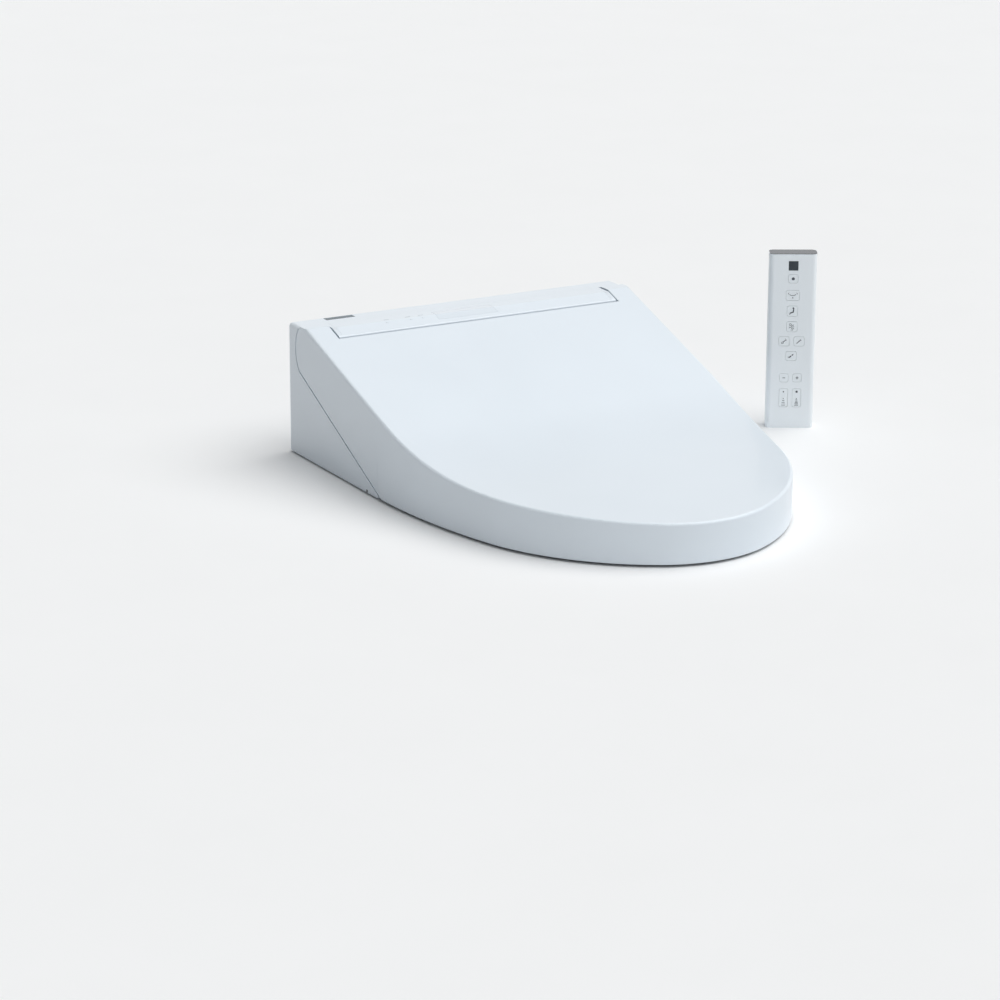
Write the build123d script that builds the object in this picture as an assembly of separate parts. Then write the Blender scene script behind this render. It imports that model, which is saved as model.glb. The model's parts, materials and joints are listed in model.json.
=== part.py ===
from build123d import *
import os
from math import atan, cos, degrees, pi, radians, sin, sqrt, tan

# Electric bidet seat: a lid and a heated seat that share one hinge line, over a main unit that holds the
# water, air and electric parts, with its remote control standing beside it. All sizes are millimetres.
# The origin is midway between the two bowl fixing holes, on the plane of the bowl's rim. The front is -Y,
# +X is to the right of someone facing the front, and +Z is up.

# Overall size and the plan outline that lid and main unit share
WIDTH = 386.0
LENGTH = 530.0
REAR_Y = 56.0
CURVE_LENGTH = 333.0
SIDE_R = 670.0
SHOULDER_R = 228.0
NOSE_R = 122.0
REAR_CORNER_R = 3.5

# Side view of the lid: rear slope, flat nose with a wide hollow blend, round tail and slanted skirt
SLOPE_DEG = 18.6
SLOPE_Z = 134.7
NOSE_DEG = 2.5
NOSE_Z = 43.0
BLEND_R = 500.0
TAIL_Y = 1.5
TAIL_Z = 114.5
TAIL_R = 37.4
TAIL_FOOT_R = 12.0
SKIRT_DEG = 26.06
SKIRT_TIP_Y = -151.0
LID_BOTTOM = 3.0
LID_WALL = 3.0
LID_EDGE_R = 3.0
LID_GAP = 1.3
LID_RIB = 2.0
LID_BUMPER_R = 5.0
LID_BUMPER_X = 62.0
LID_BUMPER_SET = 46.0

# Hinge line shared by lid and seat
HINGE_Y = 12.0
HINGE_Z = 126.0
PIN_R = 5.0
PIN_ROOT = 24.5
BUSH_R = 6.8
HUB_R = 8.5
RUNNING = 0.05
SEATING = 0.02
ARM_WIDTH = 11.0
ARM_GAP = 2.5
LUG_WIDTH = 10.5
LUG_GAP = 1.5
LUG_BORE_DEPTH = 9.0
PIN_END_PLAY = 0.6
DAMPER_R = 7.5
DAMPER_LENGTH = 44.0

# Main unit
CASE_WALL = 2.5
CASE_BOTTOM = 2.0
CUTOUT_GAP = 1.5
LEDGE_Z = 138.6
LEDGE_EDGE_R = 4.0
STRIP_FRONT_Y = -5.0
CUTOUT_FRONT_Y = -7.5
STRIP_FOOT_Z = 125.0
BROW_Y = -95.0
BROW_Z = 44.0
BLOCK_FRONT_Y = -99.0
BLOCK_LIP_Z = 38.0
WING_TIP_Y = -143.0
FOOT_R = 9.0

# Top panel, windows and lights
PANEL_INSET = 4.5
PANEL_FRONT_Y = -3.0
PANEL_REAR_Y = 30.0
PANEL_THICK = 2.0
INLAY_GAP = 0.15
RECEIVER_X = (-45.0, 24.5)
RECEIVER_Y = (2.0, 21.0)
RECEIVER_THICK = 1.0
LIGHT_XS = (-100.0, -75.0, -60.0)
LIGHT_Y = 16.0
LIGHT_SIZE = (6.0, 1.6, 1.0)
SENSOR_INSET = 9.5
SENSOR_WIDTH = 33.0
SENSOR_Y = (43.0, 51.5)
SENSOR_THICK = 1.5

# Lower case and mounting plate
FLOOR_THICK = 2.5
FLOOR_GAP = 0.3
PLATE_PLAY = 4.0
POCKET_FRONT_Y = -48.0
POCKET_Z = 12.0
PLATE_HALF = 100.0
PLATE_DEPTH = 88.0
PLATE_THICK = 3.0
RAIL_WIDTH = 8.0
HOLE_SPACING = 140.0
SLOT_R = 6.0
SLOT_LENGTH = 26.0
SCREW_R = 1.6
SCREW_HEAD_R = 3.6
SCREW_LENGTH = 20.0
SCREW_INSET = 16.5
SCREW_REAR_Y = 49.5
SCREW_FRONT_Y = -92.5
COLUMN_R = 5.0
COLUMN_TOP_Z = 32.0

# Seat
SEAT_GAP = 3.5
SEAT_BOTTOM = 12.0
SEAT_TOP = 36.0
SEAT_WALL = 3.5
SEAT_EDGE_R = 8.0
SEAT_REAR_Y = -104.0
SEAT_CORNER_R = 22.0
SEAT_LIFT = 3.0
SEAT_HOLE_R = 14.0
RING_SIDE = 78.5
RING_FRONT = 75.5
RING_REAR = 41.0
SEAT_BASE_THICK = 2.5
HEATER_THICK = 0.8
HEATER_MARGIN = 9.0
ARM_FOOT_Y = -128.0
ARM_FOOT_Z = 27.0
ARM_FOOT_R = 8.0
BUMPER_R = 11.0
BUMPER_SETS = ((72.0, 50.0), (138.0, 284.0))

# Wand and its drive, on a line that slopes down to the front
WAND_DEG = 30.0
WAND_TIP_Y = -86.0
WAND_TIP_Z = 6.5
WAND_R = 7.0
WAND_LENGTH = 150.0
WAND_HEAD = 14.0
SPRAY_R = 0.7
SPRAY_STEP = 2.5
SPRAY_FLAT = 1.0
RACK_WIDTH = 8.0
RACK_ROOT = 9.0
PINION_TEETH = 12
PINION_R = 9.0
TOOTH_UP = 1.2
TOOTH_DOWN = 1.6
TOOTH_SHARE = 0.40
TOOTH_FLANK_DEG = 20.0
TOOTH_SINK = 1.0
RACK_SPARE_TEETH = 1.5
PINION_AT = 40.0
WAND_TRAVEL = 95.0
SHAFT_R = 2.0
GUIDE_GAP = 0.3
GUIDE_WALL = 3.0
GUIDE_FRONT = 17.0
GUIDE_REAR = 146.0
BRACKET_THICK = 3.0
NOZZLE_MOTOR_R = 13.0
NOZZLE_MOTOR_LENGTH = 26.0
WAND_DOOR_HALF = 12.0
WAND_DOOR_Z = 26.0

# Dryer
DRYER_X = 60.0
DRYER_WIDTH = 30.0
DRYER_Y = -20.0
DRYER_Z = 48.0
DRYER_R = 32.0
DRYER_WALL = 2.0
DUCT_HEIGHT = 20.0
DRYER_EYE_R = 14.0
IMPELLER_R = 25.0
IMPELLER_WIDTH = 20.0
IMPELLER_BLADES = 12
BLADE_THICK = 1.5
BLADE_DEPTH = 8.0
DRYER_MOTOR_R = 15.0
DRYER_MOTOR_LENGTH = 24.0
DRYER_SHAFT_REACH = 12.0
SHAFT_END_PLAY = 2.0
GRILLE_BARS = 4

# Deodorizer
DEODOR_X = (-104.0, -64.0)
DEODOR_Y = -30.0
DEODOR_Z = (15.5, 47.5)
DEODOR_WALL = 2.0
FILTER_DEPTH = 24.0
FAN_R = 12.5
FAN_BLADES = 5
FAN_DEPTH = 8.0
FAN_BLADE_HALF = 3.0

# Water parts
TANK_X = (-104.0, -28.0)
TANK_Y = (-22.0, 45.0)
TANK_TOP = 80.0
TANK_EDGE_R = 8.0
VALVE_STEM = 15.0
VALVE_WIDTH = 26.0
VALVE_Y = (4.0, 40.0)
VALVE_TOP = 50.0
INLET_POCKET = (36.0, 36.0)
INLET_Y = 22.0
INLET_Z = 26.0
INLET_R = 10.48
INLET_BORE_R = 6.0
INLET_LENGTH = 13.0
INLET_POCKET_DEPTH = 20.0
FLOW_R = 8.0
COIL_R = 11.0
FLOW_LENGTH = 44.0
HOSE_R = 4.0
PORT_WALL = 1.0
HOSE_BEND_R = 10.0
HOSE_TOP_Z = 96.0
HOSE_Y = 40.0

# Electric parts
BOARD_THICK = 1.6
CONTROL_BOARD_GAP = 10.0
CONTROL_BOARD_Y = (0.0, 46.0)
CONTROL_BOARD_Z = 112.0
BOSS_R = 4.0
POWER_BOARD_X = (34.0, 108.0)
POWER_BOARD_Y = (14.0, 50.0)
POWER_BOARD_Z = 86.0
POST_R = 3.5
POST_INSET = 6.0
TRANSFORMER_SIZE = (24.0, 10.0)
CAPACITOR_HEIGHT = 8.0
CAPACITOR_INSETS = (18.0, 30.0)
GLAND_INSET = 24.5
GLAND_Z = 66.0
GLAND_R = 9.0
GLAND_BORE_R = 4.0

# Release button on the right-hand side
BUTTON_Y = -40.0
BUTTON_Z = 20.0
BUTTON_SIZE = (22.0, 12.0)
BUTTON_GAP = 0.3
BUTTON_TRAVEL = 5.0
BUTTON_STEM = 40.0
BUTTON_STEM_R = 4.0
BUTTON_GUIDE = 8.0

# Remote control, upright beside the seat
REMOTE_X = 318.0
REMOTE_FRONT_Y = -120.0
REMOTE_TURN_DEG = -29.0
REMOTE_WIDTH = 50.0
REMOTE_HEIGHT = 190.0
REMOTE_DEPTH = 20.0
REMOTE_SPLIT = 8.0
REMOTE_WALL = 2.0
REMOTE_EDGE_R = 5.0
REMOTE_END = 2.0
KEY_GAP = 0.25
KEY_TRAVEL = 0.4
KEY_FLANGE = 1.0
KEY_STEM_R = 1.5
KEY_CORNER_R = 2.0
REMOTE_BOARD_AT = 5.0
WINDOW_SIZE = 10.0
WINDOW_DOWN = 13.0
BATTERY_R = 5.25
BATTERY_LENGTH = 44.5
BATTERY_BASE = 20.0
BATTERY_COVER_HALF = 15.0
BATTERY_COVER_HEIGHT = 84.0

# Keys by name: place across the face, distance down from the top, width and height
KEYS = {
    "key_stop": (0.0, 27.0, 10.0, 9.0),
    "key_oscillate": (0.0, 45.0, 14.0, 11.0),
    "key_rear": (0.0, 62.0, 11.0, 11.0),
    "key_dryer": (0.0, 79.0, 11.0, 11.0),
    "key_rear_soft": (-8.0, 95.0, 11.0, 10.0),
    "key_front": (8.0, 95.0, 11.0, 10.0),
    "key_pulse": (0.0, 111.0, 11.0, 10.0),
    "key_minus": (-7.0, 135.0, 9.0, 9.0),
    "key_plus": (7.0, 135.0, 9.0, 9.0),
    "key_pressure": (-7.0, 157.0, 9.0, 20.0),
    "key_position": (7.0, 157.0, 9.0, 20.0),
}

# Sizes that follow from the ones above
HALF = WIDTH / 2
FRONT_Y = REAR_Y - LENGTH
CURVE_Y = FRONT_Y + CURVE_LENGTH
SLOPE = tan(radians(SLOPE_DEG))
NOSE = tan(radians(NOSE_DEG))
SKIRT = tan(radians(SKIRT_DEG))
FLOOR_TOP = CASE_BOTTOM + FLOOR_THICK
POCKET_TOP = POCKET_Z + FLOOR_THICK
POCKET_HALF = PLATE_HALF + PLATE_PLAY
LUG_X = HALF - LID_WALL - LUG_WIDTH
ARM_X = LUG_X - LUG_GAP - ARM_WIDTH
CENTRE_HALF = ARM_X - ARM_GAP
PIN_ROOT_X = CENTRE_HALF - PIN_ROOT
PANEL_HALF = CENTRE_HALF - PANEL_INSET
SCREW_X = CENTRE_HALF - SCREW_INSET
GLAND_X = CENTRE_HALF - GLAND_INSET
SENSOR_X = (SENSOR_INSET - CENTRE_HALF, SENSOR_INSET + SENSOR_WIDTH - CENTRE_HALF)
CONTROL_BOARD_X = CENTRE_HALF - CASE_WALL - DAMPER_LENGTH - CONTROL_BOARD_GAP
VALVE_X = (HALF - INLET_POCKET_DEPTH - VALVE_STEM - VALVE_WIDTH, HALF - INLET_POCKET_DEPTH - VALVE_STEM)
SEAT_INSET = LID_WALL + SEAT_GAP
HOLE_HALF = HALF - SEAT_INSET - RING_SIDE
HOLE_Y = SEAT_REAR_Y - RING_REAR - HOLE_HALF
HOLE_FRONT = HOLE_Y - (FRONT_Y + SEAT_INSET + RING_FRONT)
HOLE_NOSE_R = HOLE_HALF**2 / HOLE_FRONT
LID_BUMPER_Y = FRONT_Y + LID_BUMPER_SET
CASE_FRONT_IN = BLOCK_FRONT_Y + CASE_WALL
CASE_REAR_IN = REAR_Y - CASE_WALL
CASE_SIDE_IN = HALF - CASE_WALL
FAR = 400.0

CORNER = (Align.MIN, Align.MIN, Align.MIN)
BASE = (Align.CENTER, Align.CENTER, Align.MIN)


def block(x_low, x_high, y_low, y_high, z_low, z_high):
    """Box between two corners."""
    return Pos(x_low, y_low, z_low) * Box(x_high - x_low, y_high - y_low, z_high - z_low, align=CORNER)


def rod_x(x_low, x_high, y, z, radius):
    """Cylinder along X."""
    return Pos(x_low, y, z) * Rot(0, 90, 0) * Cylinder(radius, x_high - x_low, align=BASE)


def rod_y(x, y_low, y_high, z, radius):
    """Cylinder along Y."""
    return Pos(x, y_low, z) * Rot(-90, 0, 0) * Cylinder(radius, y_high - y_low, align=BASE)


def rod_z(x, y, z_low, z_high, radius):
    """Cylinder along Z."""
    return Pos(x, y, z_low) * Cylinder(radius, z_high - z_low, align=BASE)


def prism_x(face, x_low, x_high):
    """Solid between two X planes from a face drawn in (y, z)."""
    return extrude(Plane.YZ.offset(x_low) * face, amount=x_high - x_low)


def prism_z(face, z_low, z_high):
    """Solid between two Z planes from a face drawn in (x, y)."""
    return extrude(Plane.XY.offset(z_low) * face, amount=z_high - z_low)


def both_sides(part):
    """The part and its mirror image on the other side."""
    return part + mirror(part, about=Plane.YZ)


def vertex_near(face, point):
    """The face's vertex nearest to a point."""
    return face.vertices().sort_by_distance(point)[0]


def rim_centres():
    """Centres of the plan's side, shoulder and nose arcs on the right, each tangent to the next."""
    side = Vector(HALF - SIDE_R, CURVE_Y)
    nose = Vector(0, FRONT_Y + NOSE_R)
    to_side = SIDE_R - SHOULDER_R
    to_nose = SHOULDER_R - NOSE_R
    apart = (nose - side).length
    along = (to_side**2 - to_nose**2 + apart**2) / (2 * apart)
    aside = sqrt(to_side**2 - along**2)
    ahead = (nose - side).normalized()
    shoulder = side + ahead * along + Vector(-ahead.Y, ahead.X) * aside
    return side, shoulder, nose


def arc_about(centre, radius, start, end):
    """Arc about a centre, from one direction to another."""
    middle = (start + end).normalized()
    return ThreePointArc(centre + start * radius, centre + middle * radius, centre + end * radius)


def plan_face(inset=0.0, rear_y=REAR_Y):
    """Plan outline: straight sides at the rear, then side, shoulder and nose arcs round the front."""
    side, shoulder, nose = rim_centres()
    side_end = (shoulder - side).normalized()
    nose_end = (nose - shoulder).normalized()
    flank = arc_about(side, SIDE_R - inset, Vector(1, 0), side_end)
    flank += arc_about(shoulder, SHOULDER_R - inset, side_end, nose_end)
    front = arc_about(nose, NOSE_R - inset, nose_end, Vector(-nose_end.X, nose_end.Y))
    x = HALF - inset
    back = Polyline((-x, CURVE_Y), (-x, rear_y), (x, rear_y), (x, CURVE_Y))
    return make_face(flank + mirror(flank, about=Plane.YZ) + front + back)


def slope_z(y, drop=0.0):
    """Height of the lid's rear slope, lowered square to it."""
    return SLOPE_Z + SLOPE * y - drop / cos(radians(SLOPE_DEG))


def nose_z(y, drop=0.0):
    """Height of the lid's flat nose, lowered square to it."""
    return NOSE_Z + NOSE * (y - FRONT_Y) - drop / cos(radians(NOSE_DEG))


def skirt_z(y, lift=0.0):
    """Height of the skirt's slanted lower edge, raised square to it."""
    return LID_BOTTOM + SKIRT * (y - SKIRT_TIP_Y) + lift / cos(radians(SKIRT_DEG))


def tail_meet(height, gradient, radius):
    """Rear point where the line height + gradient * y meets an arc about the tail's centre."""
    rise = height - TAIL_Z
    a = 1 + gradient**2
    b = gradient * rise - TAIL_Y
    c = TAIL_Y**2 + rise**2 - radius**2
    y = (sqrt(b**2 - a * c) - b) / a
    return (y, height + gradient * y)


def lid_side_face(drop, bottom, slanted):
    """Side view of the lid, drawn in by a wall, down to a level bottom, with its slanted skirt or without."""
    start = FRONT_Y - LID_WALL
    bend_y = (slope_z(0, drop) - nose_z(0, drop)) / (NOSE - SLOPE)
    bend = (bend_y, slope_z(bend_y, drop))
    top = tail_meet(slope_z(0, drop), SLOPE, TAIL_R - drop)
    foot = tail_meet(skirt_z(0, drop), SKIRT, TAIL_R - drop)
    tip_y = SKIRT_TIP_Y if slanted else foot[0]
    over = Polyline((start, bottom), (start, nose_z(start, drop)), bend, top)
    tail = ThreePointArc(top, (TAIL_Y + TAIL_R - drop, TAIL_Z), foot)
    under = Polyline(foot, (tip_y, bottom), (start, bottom))
    face = make_face(over + tail + under)
    face = fillet(vertex_near(face, bend), BLEND_R + drop)
    return fillet(vertex_near(face, foot), TAIL_FOOT_R) if slanted else face


def recess_face(gap):
    """Side view of the space that the lid's tail and skirt sweep over the main unit."""
    top = tail_meet(slope_z(0, -gap), SLOPE, TAIL_R + gap)
    foot = tail_meet(skirt_z(0, -gap), SKIRT, TAIL_R + gap)
    tail = ThreePointArc(foot, (TAIL_Y + TAIL_R + gap, TAIL_Z), top)
    rest = Polyline(top, (top[0], FAR), (-FAR, FAR), (-FAR, skirt_z(-FAR, -gap)), foot)
    face = make_face(tail + rest)
    return fillet(vertex_near(face, foot), TAIL_FOOT_R + gap)


def is_lid_top_edge(edge):
    """True for the edges where the lid's top meets its outer wall."""
    middle = edge.position_at(0.5)
    across = edge.geom_type == GeomType.LINE and abs(edge.tangent_at(0.5).X) > 0.5
    above = middle.Z > NOSE_Z / 2 and middle.Z > skirt_z(middle.Y, SEAT_TOP)
    return above and not across and middle.Y < HINGE_Y


def lid_cavity():
    """Hollow under the lid."""
    side = lid_side_face(LID_WALL, -FAR, slanted=False)
    hollow = prism_x(side, -HALF, HALF) & prism_z(plan_face(LID_WALL, FAR), -FAR, FAR)
    over_arm = Polyline(
        (STRIP_FRONT_Y, -FAR),
        (STRIP_FRONT_Y, slope_z(STRIP_FRONT_Y, LID_WALL)),
        (REAR_Y, slope_z(REAR_Y, LID_WALL)),
        (REAR_Y, -FAR),
        close=True,
    )
    arm_reach = LUG_X - LID_GAP / 2
    return hollow + prism_x(make_face(over_arm), -arm_reach, arm_reach)


def lid_lug():
    """Hinge lug inside the right-hand lid arm, from its hub up to the lid's top."""
    hub = rod_x(LUG_X, LUG_X + LUG_WIDTH, HINGE_Y, HINGE_Z, HUB_R)
    web = Box(LUG_WIDTH, 2 * HUB_R, 2 * HUB_R, align=(Align.MIN, Align.CENTER, Align.MIN))
    web = Pos(LUG_X, HINGE_Y, HINGE_Z) * Rot(SLOPE_DEG, 0, 0) * web
    bore = rod_x(LUG_X, LUG_X + LUG_BORE_DEPTH, HINGE_Y, HINGE_Z, BUSH_R + SEATING)
    return (hub + web) - bore


def lid_shell():
    """Lid: one moulded shell with two rear arms round the top panel."""
    side = lid_side_face(0.0, LID_BOTTOM, slanted=True)
    outer = prism_x(side, -HALF, HALF) & prism_z(plan_face(0.0, FAR), 0, FAR)
    outer = fillet(outer.edges().filter_by(is_lid_top_edge), LID_EDGE_R)
    cutout_half = CENTRE_HALF + CUTOUT_GAP
    cutout = block(-cutout_half, cutout_half, CUTOUT_FRONT_Y, FAR, 0, FAR)
    shell = outer - lid_cavity()
    shell = shell + (both_sides(lid_lug()) & outer)
    rib_y = (CUTOUT_FRONT_Y - LID_RIB, CUTOUT_FRONT_Y)
    rib_z = slope_z(rib_y[0], LID_WALL)
    rib = block(-cutout_half, cutout_half, *rib_y, rib_z - LID_RIB, rib_z + LID_RIB) & outer
    return (shell + rib) - cutout


def lid_bumpers():
    """Two soft pads under the lid that rest on the seat."""
    pad = rod_z(LID_BUMPER_X, LID_BUMPER_Y, SEAT_TOP + RUNNING, NOSE_Z + LID_WALL, LID_BUMPER_R)
    return both_sides(pad & lid_cavity())


def lid_bushes():
    """Plain bearings in the lid's two hinge lugs."""
    bush = rod_x(LUG_X, LUG_X + LUG_BORE_DEPTH - SEATING, HINGE_Y, HINGE_Z, BUSH_R)
    bush -= rod_x(LUG_X, LUG_X + LUG_BORE_DEPTH, HINGE_Y, HINGE_Z, PIN_R + RUNNING)
    return both_sides(bush)


def seat_hole(margin=0.0):
    """Opening of the seat: an oval of arcs that meet smoothly, longer to the front."""
    reach = HOLE_FRONT - HOLE_NOSE_R
    flank_r = (HOLE_HALF**2 + reach**2 - HOLE_NOSE_R**2) / (2 * (HOLE_HALF - HOLE_NOSE_R))
    flank_x = flank_r - HOLE_HALF
    turn = degrees(atan(reach / flank_x))
    rear = CenterArc((0, HOLE_Y), HOLE_HALF + margin, 0, 180)
    left = CenterArc((flank_x, HOLE_Y), flank_r + margin, 180, turn)
    nose = CenterArc((0, HOLE_Y - reach), HOLE_NOSE_R + margin, 180 + turn, 180 - 2 * turn)
    right = CenterArc((-flank_x, HOLE_Y), flank_r + margin, -turn, turn)
    return make_face(rear + left + nose + right)


def seat_plan(margin=0.0):
    """Plan of the seat ring, drawn in from its edges by a margin."""
    behind = Pos(0, SEAT_REAR_Y - margin + FAR / 2) * Rectangle(2 * FAR, FAR)
    outer = plan_face(SEAT_INSET + margin) - behind
    corners = outer.vertices().group_by(Axis.Y)[-1]
    return fillet(corners, SEAT_CORNER_R - margin) - seat_hole(margin)


def wing_clearance():
    """Space over the wings of the main unit that the seat keeps clear of."""
    keep = recess_face(LID_GAP)
    under = block(0, HALF, WING_TIP_Y - FAR, REAR_Y, -FAR, FAR) - prism_x(keep, 0, HALF)
    lifted = Pos(0, 0, SEAT_LIFT) * under
    return both_sides(lifted & block(CENTRE_HALF - SEAT_LIFT, HALF, -FAR, FAR, -FAR, FAR))


def seat_arm():
    """Right-hand hinge arm of the seat, from its hub down to the ring."""
    hub = CenterArc((HINGE_Y, HINGE_Z), HUB_R, 0, 360)
    foot = CenterArc((ARM_FOOT_Y, ARM_FOOT_Z), ARM_FOOT_R, 0, 360)
    arm = prism_x(make_hull([hub.edge(), foot.edge()]), ARM_X, ARM_X + ARM_WIDTH)
    return arm - rod_x(ARM_X, ARM_X + ARM_WIDTH, HINGE_Y, HINGE_Z, BUSH_R + SEATING)


def flank_zone():
    """Rear flanks of the ring, which are solid where they carry the arms."""
    return both_sides(block(ARM_X - SEAT_CORNER_R, HALF, ARM_FOOT_Y - SEAT_CORNER_R, 0, 0, FAR))


def seat_ring():
    """Seat: a rounded ring, hollow from below, with two solid hinge arms."""
    ring = prism_z(seat_plan(), SEAT_BOTTOM, SEAT_TOP)
    ring = fillet(ring.edges().group_by(Axis.Z)[-1].filter_by(is_hole_edge), SEAT_HOLE_R)
    outside = [edge for edge in ring.edges().group_by(Axis.Z)[-1] if not is_hole_edge(edge)]
    ring = fillet(outside, SEAT_EDGE_R)
    hollow = prism_z(seat_plan(SEAT_WALL), SEAT_BOTTOM, SEAT_TOP - SEAT_WALL)
    hollow = fillet(hollow.edges().group_by(Axis.Z)[-1], SEAT_EDGE_R)
    return (ring - (hollow - flank_zone()) - wing_clearance()) + both_sides(seat_arm())


def is_hole_edge(edge):
    """True for the edges that run round the opening of the seat."""
    middle = edge.position_at(0.5)
    return seat_hole().distance_to((middle.X, middle.Y, 0)) < SEAT_HOLE_R + 1


def seat_base():
    """Plate that closes the seat ring from below."""
    plan = seat_plan(SEAT_WALL + SEATING)
    return prism_z(plan, SEAT_BOTTOM, SEAT_BOTTOM + SEAT_BASE_THICK) - grown_flanks()


def grown_flanks():
    """The solid flanks with the seating clearance round them."""
    inner = ARM_X - SEAT_CORNER_R - SEATING
    front = ARM_FOOT_Y - SEAT_CORNER_R - SEATING
    return both_sides(block(inner, HALF, front, 0, 0, FAR))


def seat_heater():
    """Heating foil under the top of the seat ring."""
    top = SEAT_TOP - SEAT_WALL
    return prism_z(seat_plan(SEAT_WALL + HEATER_MARGIN), top - HEATER_THICK, top) - grown_flanks()


def seat_bumpers():
    """Four soft pads that carry the seat on the bowl's rim."""
    pads = [rod_z(x, FRONT_Y + back, 0, SEAT_BOTTOM, BUMPER_R) for x, back in BUMPER_SETS]
    return both_sides(Part() + pads)


def seat_bushes():
    """Plain bearings in the seat's two hinge arms."""
    bush = rod_x(ARM_X, ARM_X + ARM_WIDTH, HINGE_Y, HINGE_Z, BUSH_R)
    bush -= rod_x(ARM_X, ARM_X + ARM_WIDTH, HINGE_Y, HINGE_Z, PIN_R + RUNNING)
    return both_sides(bush)


def hinge_pins():
    """Two pins that stand out of the main unit through seat and lid."""
    return both_sides(rod_x(PIN_ROOT_X, LUG_X + LUG_BORE_DEPTH - PIN_END_PLAY, HINGE_Y, HINGE_Z, PIN_R))


def damper(side):
    """Soft-close damper round the inner end of one hinge pin."""
    end_x = CENTRE_HALF - CASE_WALL
    barrel = rod_x(end_x - DAMPER_LENGTH, end_x, HINGE_Y, HINGE_Z, DAMPER_R)
    barrel -= rod_x(PIN_ROOT_X, end_x, HINGE_Y, HINGE_Z, PIN_R + SEATING)
    return barrel if side > 0 else mirror(barrel, about=Plane.YZ)


def centre_face(bottom):
    """Side view of the main unit's middle, between the lid's arms."""
    bend_y = (LEDGE_Z - SLOPE_Z) / SLOPE
    outline = Polyline(
        (REAR_Y, bottom),
        (REAR_Y, LEDGE_Z),
        (bend_y, LEDGE_Z),
        (STRIP_FRONT_Y, slope_z(STRIP_FRONT_Y)),
        (STRIP_FRONT_Y, STRIP_FOOT_Z),
        (BROW_Y, BROW_Z),
        (BLOCK_FRONT_Y, BLOCK_LIP_Z),
        (BLOCK_FRONT_Y, bottom),
        close=True,
    )
    return make_face(outline)


def case_plan(inset=0.0):
    """Plan of the main unit, with rounded rear corners."""
    face = plan_face(inset, REAR_Y - inset)
    return fillet(face.vertices().group_by(Axis.Y)[-1], REAR_CORNER_R - inset)


def case_form(inset, bottom):
    """Form of the main unit, drawn in from its outside by a wall."""
    half = CENTRE_HALF - inset
    centre = centre_face(bottom - inset)
    centre = offset(centre, -inset) if inset else centre
    middle = prism_x(centre, -half, half)
    span = (REAR_Y - inset, bottom, LEDGE_Z - inset)
    side = block(half - CASE_WALL, HALF, BLOCK_FRONT_Y + inset, *span)
    side += block(CENTRE_HALF + inset, HALF, WING_TIP_Y + inset, *span)
    side -= prism_x(recess_face(LID_GAP + inset), 0, HALF)
    return (middle + both_sides(side)) & prism_z(case_plan(inset), bottom, FAR)


def panel_face(y_low, y_high, depth):
    """Side view of a thin inlay in the top strip."""
    bend_y = (LEDGE_Z - SLOPE_Z) / SLOPE
    top = [(y_low, slope_z(y_low)), (bend_y, LEDGE_Z), (y_high, LEDGE_Z)]
    below = [(y, z - depth) for y, z in reversed(top)]
    return make_face(Polyline(*top, *below, close=True))


def panel_inlay(gap):
    """Top panel, or with a gap the recess that it lies in."""
    face = panel_face(PANEL_FRONT_Y - gap, PANEL_REAR_Y + gap, PANEL_THICK)
    return prism_x(face, -PANEL_HALF - gap, PANEL_HALF + gap)


def receiver_inlay(gap):
    """Receiver window, or with a gap the recess that it lies in."""
    face = panel_face(RECEIVER_Y[0] - gap, RECEIVER_Y[1] + gap, RECEIVER_THICK)
    return prism_x(face, RECEIVER_X[0] - gap, RECEIVER_X[1] + gap)


def light_inlay(gap):
    """Indicator lenses, or with a gap the recesses that they lie in."""
    width, depth, thick = LIGHT_SIZE
    half_x = width / 2 + gap
    half_y = depth / 2 + gap
    span = (LIGHT_Y - half_y, LIGHT_Y + half_y, LEDGE_Z - thick, LEDGE_Z)
    return Part() + [block(x - half_x, x + half_x, *span) for x in LIGHT_XS]


def sensor_inlay(gap):
    """Dark sensor window on the rear ledge, or with a gap its recess."""
    x_low, x_high = SENSOR_X
    y_low, y_high = SENSOR_Y
    return block(x_low - gap, x_high + gap, y_low - gap, y_high + gap, LEDGE_Z - SENSOR_THICK, LEDGE_Z)


def top_panel():
    """Panel between the lid's arms."""
    return panel_inlay(0.0) - receiver_inlay(INLAY_GAP) - light_inlay(INLAY_GAP)


def receiver_window():
    """Window for the remote's signal."""
    return receiver_inlay(0.0)


def indicator_lenses():
    """Three small light windows."""
    return light_inlay(0.0)


def sensor_window():
    """Dark window of the user sensor."""
    return sensor_inlay(0.0)


def screw_places():
    """Places of the four case screws."""
    return [(side * SCREW_X, y) for side in (-1, 1) for y in (SCREW_REAR_Y, SCREW_FRONT_Y)]


def board_places():
    """Places of the bosses that carry the control board."""
    y_low, y_high = CONTROL_BOARD_Y
    rows = (y_low + POST_INSET, y_high - POST_INSET)
    return [(side * (CONTROL_BOARD_X - POST_INSET), y) for side in (-1, 1) for y in rows]


def inlet_pocket(gap=0.0):
    """Pocket in the right-hand side round the water inlet."""
    half_y = INLET_POCKET[0] / 2 + gap
    half_z = INLET_POCKET[1] / 2 + gap
    x_low = HALF - INLET_POCKET_DEPTH - gap
    return block(x_low, HALF, INLET_Y - half_y, INLET_Y + half_y, INLET_Z - half_z, INLET_Z + half_z)


def button_hole(gap):
    """Prism of the release button, or with a gap the hole that it slides in."""
    half_y = BUTTON_SIZE[0] / 2 + gap
    half_z = BUTTON_SIZE[1] / 2 + gap
    x_low = CASE_SIDE_IN - BUTTON_TRAVEL
    return block(x_low, HALF, BUTTON_Y - half_y, BUTTON_Y + half_y, BUTTON_Z - half_z, BUTTON_Z + half_z)


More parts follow.
